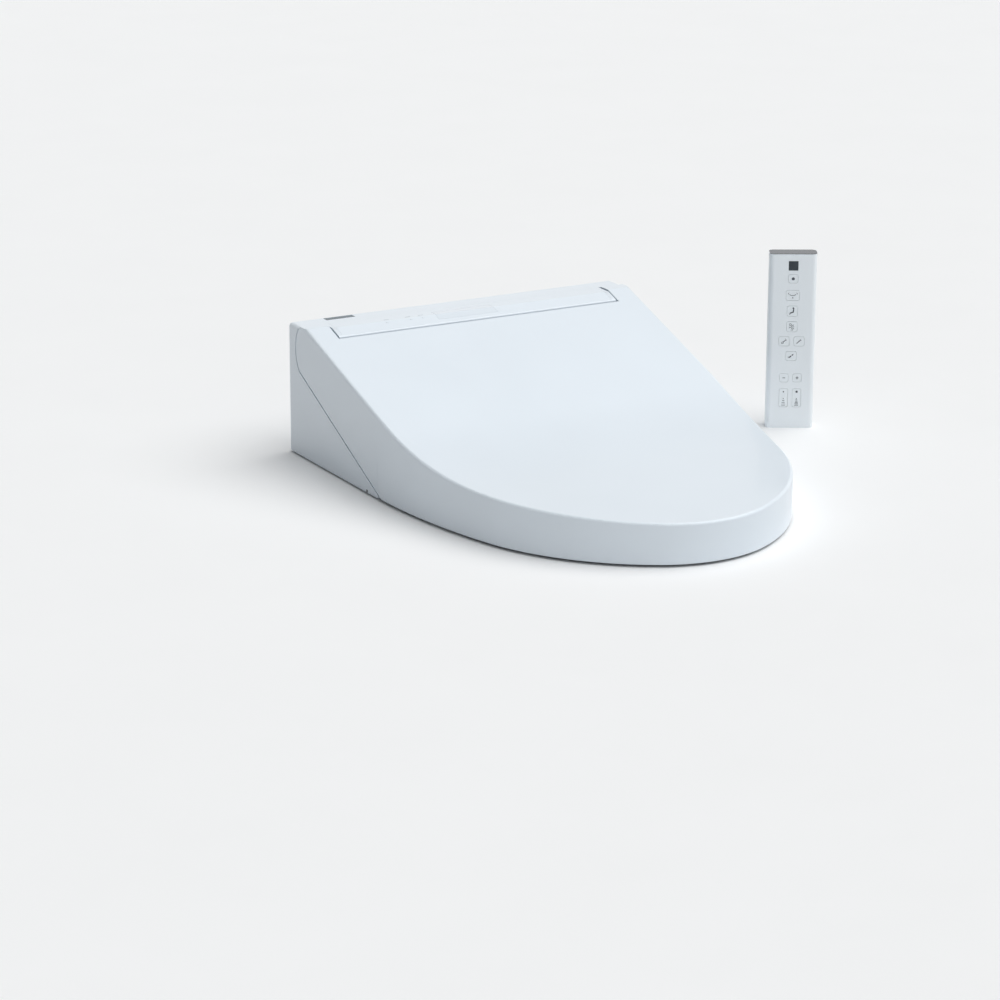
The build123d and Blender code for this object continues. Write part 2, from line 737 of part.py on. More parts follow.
def dryer_mouth(gap):
    """Outlet of the dryer in the main unit's front."""
    low = DRYER_Z - DRYER_R + DRYER_WALL - gap
    high = low + DUCT_HEIGHT - 2 * DRYER_WALL + 2 * gap
    x_low = DRYER_X + DRYER_WALL - gap
    x_high = DRYER_X + DRYER_WIDTH - DRYER_WALL + gap
    return block(x_low, x_high, BLOCK_FRONT_Y, CASE_FRONT_IN, low, high)


def deodor_mouth():
    """Row of intake slots of the deodorizer in the main unit's front."""
    x_low, x_high = DEODOR_X
    span = (BLOCK_FRONT_Y, CASE_FRONT_IN, DEODOR_Z[0] + 2 * DEODOR_WALL, BLOCK_LIP_Z - DEODOR_WALL)
    slots = []
    for step in range(GRILLE_BARS):
        x = x_low + (step + 1) * (x_high - x_low) / (GRILLE_BARS + 1)
        slots.append(block(x - DEODOR_WALL, x + DEODOR_WALL, *span))
    return Part() + slots


def wand_door():
    """Opening in the main unit's front and floor that the wand comes out of."""
    return block(-WAND_DOOR_HALF, WAND_DOOR_HALF, BLOCK_FRONT_Y, CASE_FRONT_IN, CASE_BOTTOM, WAND_DOOR_Z)


def upper_case():
    """Upper case: the moulded shell of the main unit, open below."""
    outer = case_form(0.0, CASE_BOTTOM)
    ledge = outer.edges().filter_by(Axis.X).group_by(Axis.Y)[-1].group_by(Axis.Z)[-1]
    outer = fillet(ledge, LEDGE_EDGE_R)
    pocket_wall = inlet_pocket(CASE_WALL) & outer
    inside = case_form(CASE_WALL, -FAR) - pocket_wall
    lining = panel_face(STRIP_FRONT_Y, PANEL_REAR_Y + CASE_WALL, PANEL_THICK + CASE_WALL)
    inside -= prism_x(lining, -CENTRE_HALF, CENTRE_HALF)
    inside -= Pos(0, 0, -CASE_WALL) * sensor_inlay(CASE_WALL)
    columns = [rod_z(x, y, FLOOR_TOP, COLUMN_TOP_Z, COLUMN_R) for x, y in screw_places()]
    boss_span = (CONTROL_BOARD_Z + BOARD_THICK, LEDGE_Z - PANEL_THICK, BOSS_R)
    bosses = [rod_z(x, y, *boss_span) for x, y in board_places()]
    shell = (outer - inside) + ((Part() + columns + bosses) & outer)
    shell -= [rod_z(x, y, FLOOR_TOP, COLUMN_TOP_Z - CASE_WALL, SCREW_R + SEATING) for x, y in screw_places()]
    shell -= both_sides(rod_x(CENTRE_HALF - CASE_WALL, CENTRE_HALF, HINGE_Y, HINGE_Z, PIN_R + SEATING))
    shell -= panel_inlay(INLAY_GAP)
    shell -= sensor_inlay(INLAY_GAP)
    shell -= inlet_pocket()
    shell -= rod_x(CENTRE_HALF, HALF, INLET_Y, INLET_Z, INLET_BORE_R + RUNNING)
    shell -= button_hole(BUTTON_GAP)
    shell -= rod_y(GLAND_X, CASE_REAR_IN, REAR_Y, GLAND_Z, GLAND_R - CASE_WALL + SEATING)
    shell -= dryer_mouth(INLAY_GAP)
    shell -= deodor_mouth()
    return shell - wand_door()


def lower_case():
    """Lower case: the floor of the main unit, raised over the mounting plate."""
    inset = CASE_WALL + FLOOR_GAP
    plan = case_plan(inset)
    front = BLOCK_FRONT_Y + inset
    floor = prism_z(plan, CASE_BOTTOM, FLOOR_TOP)
    middle = block(-HALF, HALF, front, REAR_Y, 0, FAR)
    wing = block(CENTRE_HALF + inset, HALF, WING_TIP_Y + inset, REAR_Y, 0, FAR)
    floor = floor & (middle + both_sides(wing))
    floor -= prism_x(recess_face(LID_GAP + inset), -HALF, HALF)
    hump = (POCKET_HALF + FLOOR_THICK, POCKET_FRONT_Y - FLOOR_THICK)
    rear = REAR_Y - inset
    floor += block(-hump[0], hump[0], hump[1], rear, CASE_BOTTOM, POCKET_TOP)
    floor -= block(-POCKET_HALF, POCKET_HALF, POCKET_FRONT_Y, rear - FLOOR_THICK, CASE_BOTTOM, POCKET_Z)
    door = WAND_DOOR_HALF + FLOOR_GAP
    floor -= block(-door, door, front, WAND_TIP_Y + 2 * WAND_R, CASE_BOTTOM, FLOOR_TOP)
    floor -= [rod_z(x, y, CASE_BOTTOM, FLOOR_TOP, SCREW_R + SEATING) for x, y in screw_places()]
    posts = [rod_z(x, y, POCKET_TOP, POWER_BOARD_Z, POST_R) for x, y in power_places()]
    return floor + posts + button_guide()


def button_guide():
    """Upright on the floor that the release button's stem slides in."""
    end = CASE_SIDE_IN - BUTTON_TRAVEL - BUTTON_STEM
    half = BUTTON_SIZE[0] / 2
    guide = block(end, end + BUTTON_GUIDE, BUTTON_Y - half, BUTTON_Y + half, CASE_BOTTOM, BUTTON_Z + half)
    return guide - rod_x(end, end + BUTTON_GUIDE, BUTTON_Y, BUTTON_Z, BUTTON_STEM_R + RUNNING)


def power_places():
    """Places of the posts that carry the power board."""
    x_low, x_high = POWER_BOARD_X
    y_low, y_high = POWER_BOARD_Y
    xs = (x_low + POST_INSET, x_high - POST_INSET)
    ys = (y_low + POST_INSET, y_high - POST_INSET)
    return [(x, y) for x in xs for y in ys]


def case_screws():
    """Four screws that hold the lower case to the upper one."""
    screws = []
    for x, y in screw_places():
        head = rod_z(x, y, CASE_BOTTOM - SCREW_R, CASE_BOTTOM, SCREW_HEAD_R)
        screws.append(head + rod_z(x, y, CASE_BOTTOM, CASE_BOTTOM + SCREW_LENGTH, SCREW_R))
    return Part() + screws


def bowl_feet():
    """Soft pads between the main unit and the bowl."""
    places = [(side * (CENTRE_HALF - FOOT_R), y) for side in (-1, 1) for y in (HINGE_Y, POCKET_FRONT_Y)]
    tips = [(side * (CENTRE_HALF + FOOT_R + CASE_WALL), WING_TIP_Y + 2 * FOOT_R) for side in (-1, 1)]
    return Part() + [rod_z(x, y, 0, CASE_BOTTOM, FOOT_R) for x, y in places + tips]


def mounting_plate():
    """Plate bolted to the bowl, with two rails that the main unit slides on to."""
    half_depth = PLATE_DEPTH / 2
    plate = block(-PLATE_HALF, PLATE_HALF, -half_depth, half_depth, 0, PLATE_THICK)
    plate += both_sides(block(PLATE_HALF - RAIL_WIDTH, PLATE_HALF, -half_depth, half_depth, 0, POCKET_Z))
    slot = prism_z(Pos(HOLE_SPACING / 2, 0) * SlotOverall(SLOT_LENGTH, 2 * SLOT_R), 0, PLATE_THICK)
    return plate - both_sides(slot)


def wand_plane():
    """Plane at the wand's tip: its Z runs back up the wand, and its -Y points to the rack."""
    back = (0, cos(radians(WAND_DEG)), sin(radians(WAND_DEG)))
    return Plane(origin=(0, WAND_TIP_Y, WAND_TIP_Z), x_dir=(1, 0, 0), z_dir=back)


def tooth_face(root_side, tip_side):
    """Flat outline of one tooth on its pitch line, pointing to -Y."""
    pitch = 2 * pi * PINION_R / PINION_TEETH
    half = pitch * TOOTH_SHARE / 2
    flank = tan(radians(TOOTH_FLANK_DEG))
    tip = half - tip_side * flank
    root = half + root_side * flank
    outline = Polyline((root_side, -root), (-tip_side, -tip), (-tip_side, tip), (root_side, root), close=True)
    return make_face(outline)


def rack():
    """Toothed bar along the wand."""
    pitch = 2 * pi * PINION_R / PINION_TEETH
    low = PINION_AT - RACK_SPARE_TEETH * pitch
    high = PINION_AT + WAND_TRAVEL + RACK_SPARE_TEETH * pitch
    half = RACK_WIDTH / 2
    bar = block(-half, half, -RACK_ROOT, -WAND_R / 2, low, high)
    count = int((high - low) / pitch) - 1
    tooth = prism_x(tooth_face(TOOTH_DOWN, TOOTH_UP), -half, half)
    places = [PINION_AT - pitch + step * pitch for step in range(count)]
    return bar + [Pos(0, -RACK_ROOT - TOOTH_DOWN, z) * tooth for z in places]


def wand():
    """Wash wand: a tube with a rack on its upper side."""
    tube = Pos(0, 0, WAND_HEAD) * Cylinder(WAND_R, WAND_LENGTH - WAND_HEAD, align=BASE)
    tube -= Pos(0, 0, WAND_HEAD) * Cylinder(WAND_R / 2, WAND_LENGTH - WAND_HEAD, align=BASE)
    upper = Pos(0, 0, WAND_HEAD) * Cylinder(WAND_R / 2, WAND_LENGTH, align=BASE)
    return wand_plane() * (tube + (rack() - upper))


def wand_tip():
    """Rounded nozzle head with three spray holes in the flat on its upper side."""
    head = Cylinder(WAND_R, WAND_HEAD, align=BASE)
    head = fillet(head.edges().group_by(Axis.Z)[0], WAND_R / 2)
    head -= block(-WAND_R, WAND_R, -WAND_R, SPRAY_FLAT - WAND_R, 0, WAND_HEAD)
    hole = Rot(90, 0, 0) * Cylinder(SPRAY_R, WAND_R, align=BASE)
    holes = [Pos(x, 0, WAND_HEAD / 2) * hole for x in (-SPRAY_STEP, 0, SPRAY_STEP)]
    return wand_plane() * (head - holes)


def pinion_centre():
    """Centre of the pinion in the wand's plane."""
    return (0, -RACK_ROOT - TOOTH_DOWN - PINION_R, PINION_AT)


def nozzle_pinion():
    """Pinion that drives the wand, with its shaft."""
    half = RACK_WIDTH / 2
    gear = rod_x(-half, half, 0, 0, PINION_R - TOOTH_DOWN)
    tooth = prism_x(tooth_face(TOOTH_DOWN + TOOTH_SINK, TOOTH_UP), -half, half)
    pitch_deg = 360 / PINION_TEETH
    tooth = Pos(0, -PINION_R, 0) * tooth
    teeth = [Rot((step + 0.5) * pitch_deg + 180, 0, 0) * tooth for step in range(PINION_TEETH)]
    shaft = rod_x(-half - BRACKET_THICK, half + WAND_R + 2 * BRACKET_THICK, 0, 0, SHAFT_R)
    return wand_plane() * (Pos(*pinion_centre()) * (gear + teeth + shaft))


def guide_side():
    """Distance from the wand's axis to the inside of the guide's walls."""
    return WAND_R + GUIDE_GAP


def nozzle_guide():
    """Sloping trough that the wand slides in, with its foot and the motor's bracket."""
    side = guide_side()
    outside = side + GUIDE_WALL
    trough = block(-outside, outside, -WAND_R / 2, outside, GUIDE_FRONT, GUIDE_REAR)
    trough -= block(-side, side, -WAND_R, 0, GUIDE_FRONT, GUIDE_REAR)
    trough -= Pos(0, 0, GUIDE_FRONT) * Cylinder(side, GUIDE_REAR - GUIDE_FRONT, align=BASE)
    centre = pinion_centre()
    reach = NOZZLE_MOTOR_R
    bracket = block(
        outside, outside + BRACKET_THICK, centre[1] - reach, outside, centre[2] - reach, centre[2] + reach
    )
    bracket -= Pos(0, centre[1], centre[2]) * rod_x(0, 2 * outside, 0, 0, SHAFT_R + RUNNING)
    body = wand_plane() * (trough + bracket)
    foot_y = (POCKET_FRONT_Y, CASE_REAR_IN - FLOOR_GAP - FLOOR_THICK)
    foot = block(-GUIDE_WALL, GUIDE_WALL, *foot_y, POCKET_TOP, FAR)
    above = wand_plane() * block(-FAR, FAR, -FAR, outside, -FAR, FAR)
    return body + (foot - above)


def nozzle_motor():
    """Stepper motor on the guide's bracket."""
    centre = pinion_centre()
    start = guide_side() + GUIDE_WALL + BRACKET_THICK
    body = rod_x(start, start + NOZZLE_MOTOR_LENGTH, 0, 0, NOZZLE_MOTOR_R)
    body -= rod_x(start, start + NOZZLE_MOTOR_LENGTH / 2, 0, 0, SHAFT_R + RUNNING)
    return wand_plane() * (Pos(*centre) * body)


def dryer_housing():
    """Round fan casing with a duct to the front."""
    high = DRYER_X + DRYER_WIDTH
    floor = DRYER_Z - DRYER_R
    outer = rod_x(DRYER_X, high, DRYER_Y, DRYER_Z, DRYER_R)
    outer += block(DRYER_X, high, CASE_FRONT_IN, DRYER_Y, floor, floor + DUCT_HEIGHT)
    low_in = DRYER_X + DRYER_WALL
    high_in = high - DRYER_WALL
    inner = rod_x(low_in, high_in, DRYER_Y, DRYER_Z, DRYER_R - DRYER_WALL)
    duct_top = floor + DUCT_HEIGHT - DRYER_WALL
    inner += block(low_in, high_in, CASE_FRONT_IN, DRYER_Y, floor + DRYER_WALL, duct_top)
    eye = rod_x(DRYER_X, low_in, DRYER_Y, DRYER_Z, DRYER_EYE_R)
    shaft_hole = rod_x(high_in, high, DRYER_Y, DRYER_Z, SHAFT_R + RUNNING)
    foot = block(DRYER_X, high, DRYER_Y - DUCT_HEIGHT, DRYER_Y + DUCT_HEIGHT, POCKET_TOP, DRYER_Z)
    return outer + (foot - outer) - inner - eye - shaft_hole


def dryer_impeller():
    """Drum fan of the dryer, with its shaft."""
    start = DRYER_X + DRYER_WALL + (DRYER_WIDTH - 2 * DRYER_WALL - IMPELLER_WIDTH) / 2
    end = start + IMPELLER_WIDTH
    back = rod_x(end - DRYER_WALL, end, 0, 0, IMPELLER_R)
    blade = block(start, end, IMPELLER_R - BLADE_DEPTH, IMPELLER_R, -BLADE_THICK / 2, BLADE_THICK / 2)
    blades = [Rot(step * 360 / IMPELLER_BLADES, 0, 0) * blade for step in range(IMPELLER_BLADES)]
    shaft = rod_x(end - DRYER_WALL, DRYER_X + DRYER_WIDTH + DRYER_SHAFT_REACH, 0, 0, SHAFT_R)
    return Pos(0, DRYER_Y, DRYER_Z) * (back + blades + shaft)


def dryer_motor():
    """Motor on the side of the dryer's casing."""
    start = DRYER_X + DRYER_WIDTH
    body = rod_x(start, start + DRYER_MOTOR_LENGTH, DRYER_Y, DRYER_Z, DRYER_MOTOR_R)
    bore_end = start + DRYER_SHAFT_REACH + SHAFT_END_PLAY
    return body - rod_x(start, bore_end, DRYER_Y, DRYER_Z, SHAFT_R + RUNNING)


def dryer_grille():
    """Louvre in the dryer's mouth."""
    mouth = dryer_mouth(0.0)
    box = mouth.bounding_box()
    wall = DRYER_WALL
    frame = mouth - block(
        box.min.X + wall, box.max.X - wall, -FAR, FAR, box.min.Z + wall, box.max.Z - wall
    )
    step = (box.max.X - box.min.X) / (GRILLE_BARS + 1)
    span = (box.min.Y, box.max.Y, box.min.Z, box.max.Z)
    half = BLADE_THICK / 2
    centres = [box.min.X + (place + 1) * step for place in range(GRILLE_BARS)]
    return frame + [block(x - half, x + half, *span) for x in centres]


def deodorizer_housing():
    """Air box behind the intake slots, with a fan ring at its rear."""
    x_low, x_high = DEODOR_X
    z_low, z_high = DEODOR_Z
    wall = DEODOR_WALL
    front = CASE_FRONT_IN
    brow_gap = case_form(CASE_WALL, -FAR)
    outer = block(x_low, x_high, front, DEODOR_Y, z_low, z_high) & brow_gap
    inner = block(x_low + wall, x_high - wall, front, DEODOR_Y - wall, z_low + wall, z_high - wall)
    inner = inner & offset_front(brow_gap, wall)
    ring = rod_y((x_low + x_high) / 2, DEODOR_Y - wall, DEODOR_Y, (z_low + z_high) / 2, FAN_R + wall / 2)
    bar = block(x_low + wall, x_high - wall, DEODOR_Y - wall, DEODOR_Y, *fan_bar())
    hub = rod_y((x_low + x_high) / 2, DEODOR_Y - wall, DEODOR_Y, (z_low + z_high) / 2, SHAFT_R + RUNNING)
    foot = block(x_low, x_high, POCKET_FRONT_Y, DEODOR_Y, POCKET_TOP, z_low)
    return (outer - inner - ring) + bar + foot - hub


def fan_bar():
    """Lower and upper height of the bar that carries the deodorizer's fan."""
    middle = sum(DEODOR_Z) / 2
    return (middle - 2 * SHAFT_R, middle + 2 * SHAFT_R)


def offset_front(form, amount):
    """The inside of the case moved back and down, clear of its front."""
    return Pos(0, amount, -amount) * form


def deodorizer_fan():
    """Axial fan of the deodorizer, with its shaft."""
    rear = DEODOR_Y - 2 * DEODOR_WALL
    hub = rod_y(0, rear - FAN_DEPTH, rear, 0, 2 * SHAFT_R)
    middle = rear - FAN_DEPTH / 2
    half = BLADE_THICK / 2
    blade = block(0, FAN_R, middle - half, middle + half, -FAN_BLADE_HALF, FAN_BLADE_HALF)
    blades = [Rot(0, step * 360 / FAN_BLADES, 0) * blade for step in range(FAN_BLADES)]
    shaft = rod_y(0, rear, DEODOR_Y, 0, SHAFT_R)
    return Pos(sum(DEODOR_X) / 2, 0, sum(DEODOR_Z) / 2) * (hub + blades + shaft)


def deodorizer_filter():
    """Filter cartridge in the air box."""
    x_low, x_high = DEODOR_X
    z_low = DEODOR_Z[0]
    rear = DEODOR_Y - 4 * DEODOR_WALL - FAN_DEPTH
    wall = DEODOR_WALL
    return block(x_low + wall, x_high - wall, rear - FILTER_DEPTH, rear, z_low + wall, DEODOR_Z[1] - wall)


def heater_tank():
    """Tank that warms the water, with its two ports on top."""
    x_low, x_high = TANK_X
    y_low, y_high = TANK_Y
    tank = block(x_low, x_high, y_low, y_high, POCKET_TOP, TANK_TOP)
    tank = fillet(tank.edges().filter_by(Axis.Z), TANK_EDGE_R)
    tank = fillet(tank.edges().group_by(Axis.Z)[-1], TANK_EDGE_R / 2)
    span = (TANK_TOP - PORT_WALL, TANK_TOP + 2 * HOSE_R, HOSE_R + PORT_WALL)
    return tank + [rod_z(x, HOSE_Y - TANK_EDGE_R, *span) for x in tank_port_xs()]


def tank_port_xs():
    """Places of the tank's outlet and inlet ports."""
    return (TANK_X[0] + 3 * HOSE_R, TANK_X[1] - 3 * HOSE_R)


def inlet_valve():
    """Valve block behind the water inlet."""
    x_low, x_high = VALVE_X
    y_low, y_high = VALVE_Y
    body = block(x_low, x_high, y_low, y_high, FLOOR_TOP, VALVE_TOP)
    coil = rod_z((x_low + x_high) / 2, (y_low + y_high) / 2, VALVE_TOP, VALVE_TOP + 2 * COIL_R, COIL_R)
    return body + coil


def water_inlet():
    """Threaded nipple for the supply hose, in its pocket."""
    root = HALF - INLET_POCKET_DEPTH
    nipple = rod_x(root, root + INLET_LENGTH, INLET_Y, INLET_Z, INLET_R)
    stem = rod_x(VALVE_X[1], root, INLET_Y, INLET_Z, INLET_BORE_R)
    return nipple + stem - rod_x(VALVE_X[1], HALF, INLET_Y, INLET_Z, INLET_BORE_R - RUNNING - CASE_WALL)


def flow_valve():
    """Valve on the tank that sets the wash flow."""
    x = tank_port_xs()[0]
    middle = TANK_TOP + FLOW_R
    body = rod_x(x - FLOW_R, x + FLOW_LENGTH, flow_y(), middle, FLOW_R)
    return body + rod_z(x, flow_y(), middle, flow_top(), HOSE_R + PORT_WALL)


def flow_y():
    """Place of the flow valve across the tank's top."""
    return TANK_Y[0] + FLOW_R + TANK_EDGE_R


def flow_top():
    """Top of the flow valve's port."""
    return TANK_TOP + 2 * FLOW_R + PORT_WALL


def hose(points):
    """Round hose along straight runs with even bends."""
    path = FilletPolyline(*points, radius=HOSE_BEND_R)
    section = Plane(origin=path @ 0, z_dir=path % 0) * Circle(HOSE_R)
    return sweep(section, path=path.wire())


def water_hoses():
    """Hose from the inlet valve to the tank and hose from the tank to the flow valve."""
    valve_x = (VALVE_X[0] + VALVE_X[1]) / 2
    valve_y = (VALVE_Y[0] + VALVE_Y[1]) / 2
    port_y = HOSE_Y - TANK_EDGE_R
    outlet_x, inlet_x = tank_port_xs()
    coil_top = VALVE_TOP + 2 * COIL_R
    port_top = TANK_TOP + 2 * HOSE_R
    high = HOSE_TOP_Z + 3 * HOSE_R
    supply = hose([
        (valve_x, valve_y, coil_top),
        (valve_x, valve_y, HOSE_TOP_Z + BOARD_THICK),
        (valve_x - 3 * HOSE_BEND_R, port_y, HOSE_TOP_Z + 2 * HOSE_R),
        (inlet_x, port_y, HOSE_TOP_Z + 2 * HOSE_R),
        (inlet_x, port_y, port_top),
    ])
    outlet = hose([
        (outlet_x, port_y, port_top),
        (outlet_x, port_y, high),
        (outlet_x, flow_y(), high),
        (outlet_x, flow_y(), flow_top()),
    ])
    return Part() + [supply, outlet]


def control_board():
    """Circuit board under the top panel, with its larger parts."""
    y_low, y_high = CONTROL_BOARD_Y
    half = CONTROL_BOARD_X
    low = CONTROL_BOARD_Z
    board = block(-half, half, y_low, y_high, low, low + BOARD_THICK)
    top = low + BOARD_THICK
    board += block(-half / 2, -half / 4, y_low + BOSS_R, y_high - 2 * BOSS_R, top, top + 3 * BOARD_THICK)
    board += block(half / 3, half / 2, y_low + 2 * BOSS_R, y_high - 3 * BOSS_R, top, top + 4 * BOARD_THICK)
    return board


def power_board():
    """Mains board on its posts, with a transformer and two capacitors."""
    x_low, x_high = POWER_BOARD_X
    y_low, y_high = POWER_BOARD_Y
    top = POWER_BOARD_Z + BOARD_THICK
    board = block(x_low, x_high, y_low, y_high, POWER_BOARD_Z, top)
    width, height = TRANSFORMER_SIZE
    start = x_low + 2 * POST_INSET
    board += block(start, start + width, y_low + POST_R, y_high - POST_INSET, top, top + height)
    middle = (y_low + y_high) / 2
    span = (middle, top, top + CAPACITOR_HEIGHT, POST_R)
    return board + [rod_z(x_high - inset, *span) for inset in CAPACITOR_INSETS]


def power_inlet():
    """Cord gland in the rear wall."""
    flange = rod_y(GLAND_X, CASE_REAR_IN - CASE_WALL, CASE_REAR_IN, GLAND_Z, GLAND_R)
    neck = rod_y(GLAND_X, CASE_REAR_IN, REAR_Y, GLAND_Z, GLAND_R - CASE_WALL)
    return flange + neck - rod_y(GLAND_X, CASE_REAR_IN - GLAND_R, REAR_Y, GLAND_Z, GLAND_BORE_R)


def release_button():
    """Button on the right-hand side, with the stem that works the catch."""
    start = CASE_SIDE_IN - BUTTON_TRAVEL
    return button_hole(0.0) + rod_x(start - BUTTON_STEM, start, BUTTON_Y, BUTTON_Z, BUTTON_STEM_R)


def remote_section(inset):
    """Plan section of the remote, drawn in by a wall."""
    width = REMOTE_WIDTH - 2 * inset
    middle = REMOTE_FRONT_Y + REMOTE_DEPTH / 2
    return Pos(REMOTE_X, middle) * RectangleRounded(width, REMOTE_DEPTH - 2 * inset, REMOTE_EDGE_R - inset)


def remote_form(y_low, y_high, inset):
    """Upright body of the remote between two depths, drawn in by a wall."""
    body = prism_z(remote_section(inset), inset, REMOTE_HEIGHT)
    return body & block(-FAR, FAR, y_low, y_high, 0, REMOTE_HEIGHT - REMOTE_END)


def remote_end():
    """Dark end piece across the top, which the signal passes through."""
    whole = remote_section(0.0)
    return prism_z(whole, REMOTE_HEIGHT - REMOTE_END, REMOTE_HEIGHT)


def key_centre(name):
    """Middle of a key on the remote's face."""
    across, down = KEYS[name][:2]
    return (REMOTE_X + across, REMOTE_HEIGHT - down)


def key_prism(name, gap, y_low, y_high):
    """Rounded prism of a key between two depths, with a gap all round."""
    x, z = key_centre(name)
    width, height = KEYS[name][2:]
    outline = RectangleRounded(width + 2 * gap, height + 2 * gap, KEY_CORNER_R + gap)
    return extrude(Plane.XZ.offset(-y_high) * (Pos(x, z) * outline), amount=y_high - y_low)


def remote_key(name):
    """One key of the remote: cap, flange behind the cover and stem."""
    x, z = key_centre(name)
    face = REMOTE_FRONT_Y
    behind = face + REMOTE_WALL + RUNNING
    cap = key_prism(name, 0.0, face, behind)
    flange = key_prism(name, KEY_FLANGE, behind, behind + KEY_FLANGE)
    stem = rod_y(x, behind, face + REMOTE_BOARD_AT - KEY_TRAVEL - RUNNING, z, KEY_STEM_R)
    return cap + flange + stem


def remote_front():
    """Front cover of the remote."""
    face = REMOTE_FRONT_Y
    cover = remote_form(face, face + REMOTE_SPLIT, 0.0)
    cover -= remote_form(face + REMOTE_WALL, FAR, REMOTE_WALL)
    for name in KEYS:
        cover -= key_prism(name, KEY_GAP, face, face + REMOTE_WALL)
    return cover - window_prism(INLAY_GAP)


def window_prism(gap):
    """Dark window near the top of the remote, or with a gap its hole."""
    half = WINDOW_SIZE / 2 + gap
    z = REMOTE_HEIGHT - WINDOW_DOWN
    return block(
        REMOTE_X - half, REMOTE_X + half, REMOTE_FRONT_Y, REMOTE_FRONT_Y + REMOTE_WALL, z - half, z + half
    )


def remote_window():
    """Dark window of the remote."""
    return window_prism(0.0)


def cover_prism(gap):
    """Battery cover, or with a gap its opening in the back."""
    half = BATTERY_COVER_HALF + gap
    rear = REMOTE_FRONT_Y + REMOTE_DEPTH
    return block(REMOTE_X - half, REMOTE_X + half, rear - REMOTE_WALL, rear, 0, BATTERY_COVER_HEIGHT + gap)


def remote_back():
    """Back cover of the remote."""
    face = REMOTE_FRONT_Y
    cover = remote_form(face + REMOTE_SPLIT, FAR, 0.0)
    cover -= remote_form(-FAR, face + REMOTE_DEPTH - REMOTE_WALL, REMOTE_WALL)
    return cover - cover_prism(KEY_GAP)


def battery_cover():
    """Cover over the batteries, which tilts off about its rounded foot."""
    foot_r = REMOTE_WALL / 2
    x_low = REMOTE_X - BATTERY_COVER_HALF
    x_high = REMOTE_X + BATTERY_COVER_HALF
    rear = REMOTE_FRONT_Y + REMOTE_DEPTH
    plate = cover_prism(0.0) - block(x_low, x_high, rear - REMOTE_WALL, rear, 0, foot_r)
    return plate + rod_x(x_low, x_high, rear - foot_r, foot_r, foot_r)


def batteries():
    """Two small round cells side by side."""
    y = REMOTE_FRONT_Y + REMOTE_DEPTH - REMOTE_WALL - BATTERY_R - KEY_GAP
    xs = (REMOTE_X - BATTERY_R - KEY_GAP, REMOTE_X + BATTERY_R + KEY_GAP)
    return Part() + [rod_z(x, y, BATTERY_BASE, BATTERY_BASE + BATTERY_LENGTH, BATTERY_R) for x in xs]


def remote_board():
    """Circuit board behind the keys."""
    half = REMOTE_WIDTH / 2 - REMOTE_WALL
    low = REMOTE_FRONT_Y + REMOTE_BOARD_AT
    return block(
        REMOTE_X - half, REMOTE_X + half, low, low + BOARD_THICK / 2, REMOTE_WALL, REMOTE_HEIGHT - REMOTE_END
    )


def remote_turn():
    """Turn of the standing remote about its own upright middle, to the front left."""
    middle = Pos(REMOTE_X, REMOTE_FRONT_Y + REMOTE_DEPTH / 2)
    return middle * Rot(0, 0, REMOTE_TURN_DEG) * middle.inverse()


def nodes():
    """Every piece by name."""
    makers = [
        mounting_plate, lower_case, upper_case, top_panel, receiver_window, indicator_lenses, sensor_window,
        bowl_feet, case_screws, hinge_pins, heater_tank, inlet_valve, water_inlet, flow_valve, water_hoses,
        control_board, power_board, power_inlet, dryer_housing, dryer_motor, dryer_grille, dryer_impeller,
        deodorizer_housing, deodorizer_filter, deodorizer_fan, nozzle_guide, nozzle_motor, nozzle_pinion,
        wand, wand_tip, release_button, seat_ring, seat_base, seat_heater, seat_bumpers, seat_bushes,
        lid_shell, lid_bumpers, lid_bushes,
    ]
    pieces = {maker.__name__: maker() for maker in makers}
    pieces["seat_damper"] = damper(-1)
    pieces["lid_damper"] = damper(1)
    handset = [remote_front, remote_back, remote_end, remote_window, remote_board, battery_cover, batteries]
    turn = remote_turn()
    for maker in handset:
        pieces[maker.__name__] = turn * maker()
    for name in KEYS:
        pieces[name] = turn * remote_key(name)
    return pieces


os.makedirs("parts", exist_ok=True)
for node, piece in nodes().items():
    export_step(piece, f"parts/{node}.step")
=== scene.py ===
import json
import logging
import math
from dataclasses import dataclass, field
from enum import Enum, auto

import bmesh
import bpy
from mathutils import Matrix, Vector


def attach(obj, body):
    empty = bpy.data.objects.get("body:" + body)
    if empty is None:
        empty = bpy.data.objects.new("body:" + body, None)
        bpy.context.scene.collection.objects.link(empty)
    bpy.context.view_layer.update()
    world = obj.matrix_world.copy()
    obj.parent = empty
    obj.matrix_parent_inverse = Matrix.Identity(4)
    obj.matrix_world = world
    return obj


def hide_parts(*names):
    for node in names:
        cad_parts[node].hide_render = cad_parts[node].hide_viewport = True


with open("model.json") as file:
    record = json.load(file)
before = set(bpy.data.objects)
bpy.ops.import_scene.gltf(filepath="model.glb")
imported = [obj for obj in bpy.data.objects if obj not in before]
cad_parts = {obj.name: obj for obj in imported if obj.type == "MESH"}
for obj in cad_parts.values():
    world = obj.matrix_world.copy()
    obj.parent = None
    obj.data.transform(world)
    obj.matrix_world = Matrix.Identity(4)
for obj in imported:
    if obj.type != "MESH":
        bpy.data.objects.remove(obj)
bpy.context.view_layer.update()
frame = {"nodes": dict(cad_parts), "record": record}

LOG = logging.getLogger("bidet_seat")
MM = 0.001
# Corners nearer than this are one: in a CAD mesh, and in a drawn one.
JOIN = 1e-6
MERGE = 1e-7
# Faces that meet at more than this make a sharp edge: on pieces, on outer sides and on plates.
SHARP_DEG = 35.0
SIDE_DEG = 60.0
PLATE_DEG = 30.0
# Faces that meet at less than this are one plane: on large shells, and on small pieces.
FLAT_DEG = 0.3
SMALL_FLAT_DEG = 1.0
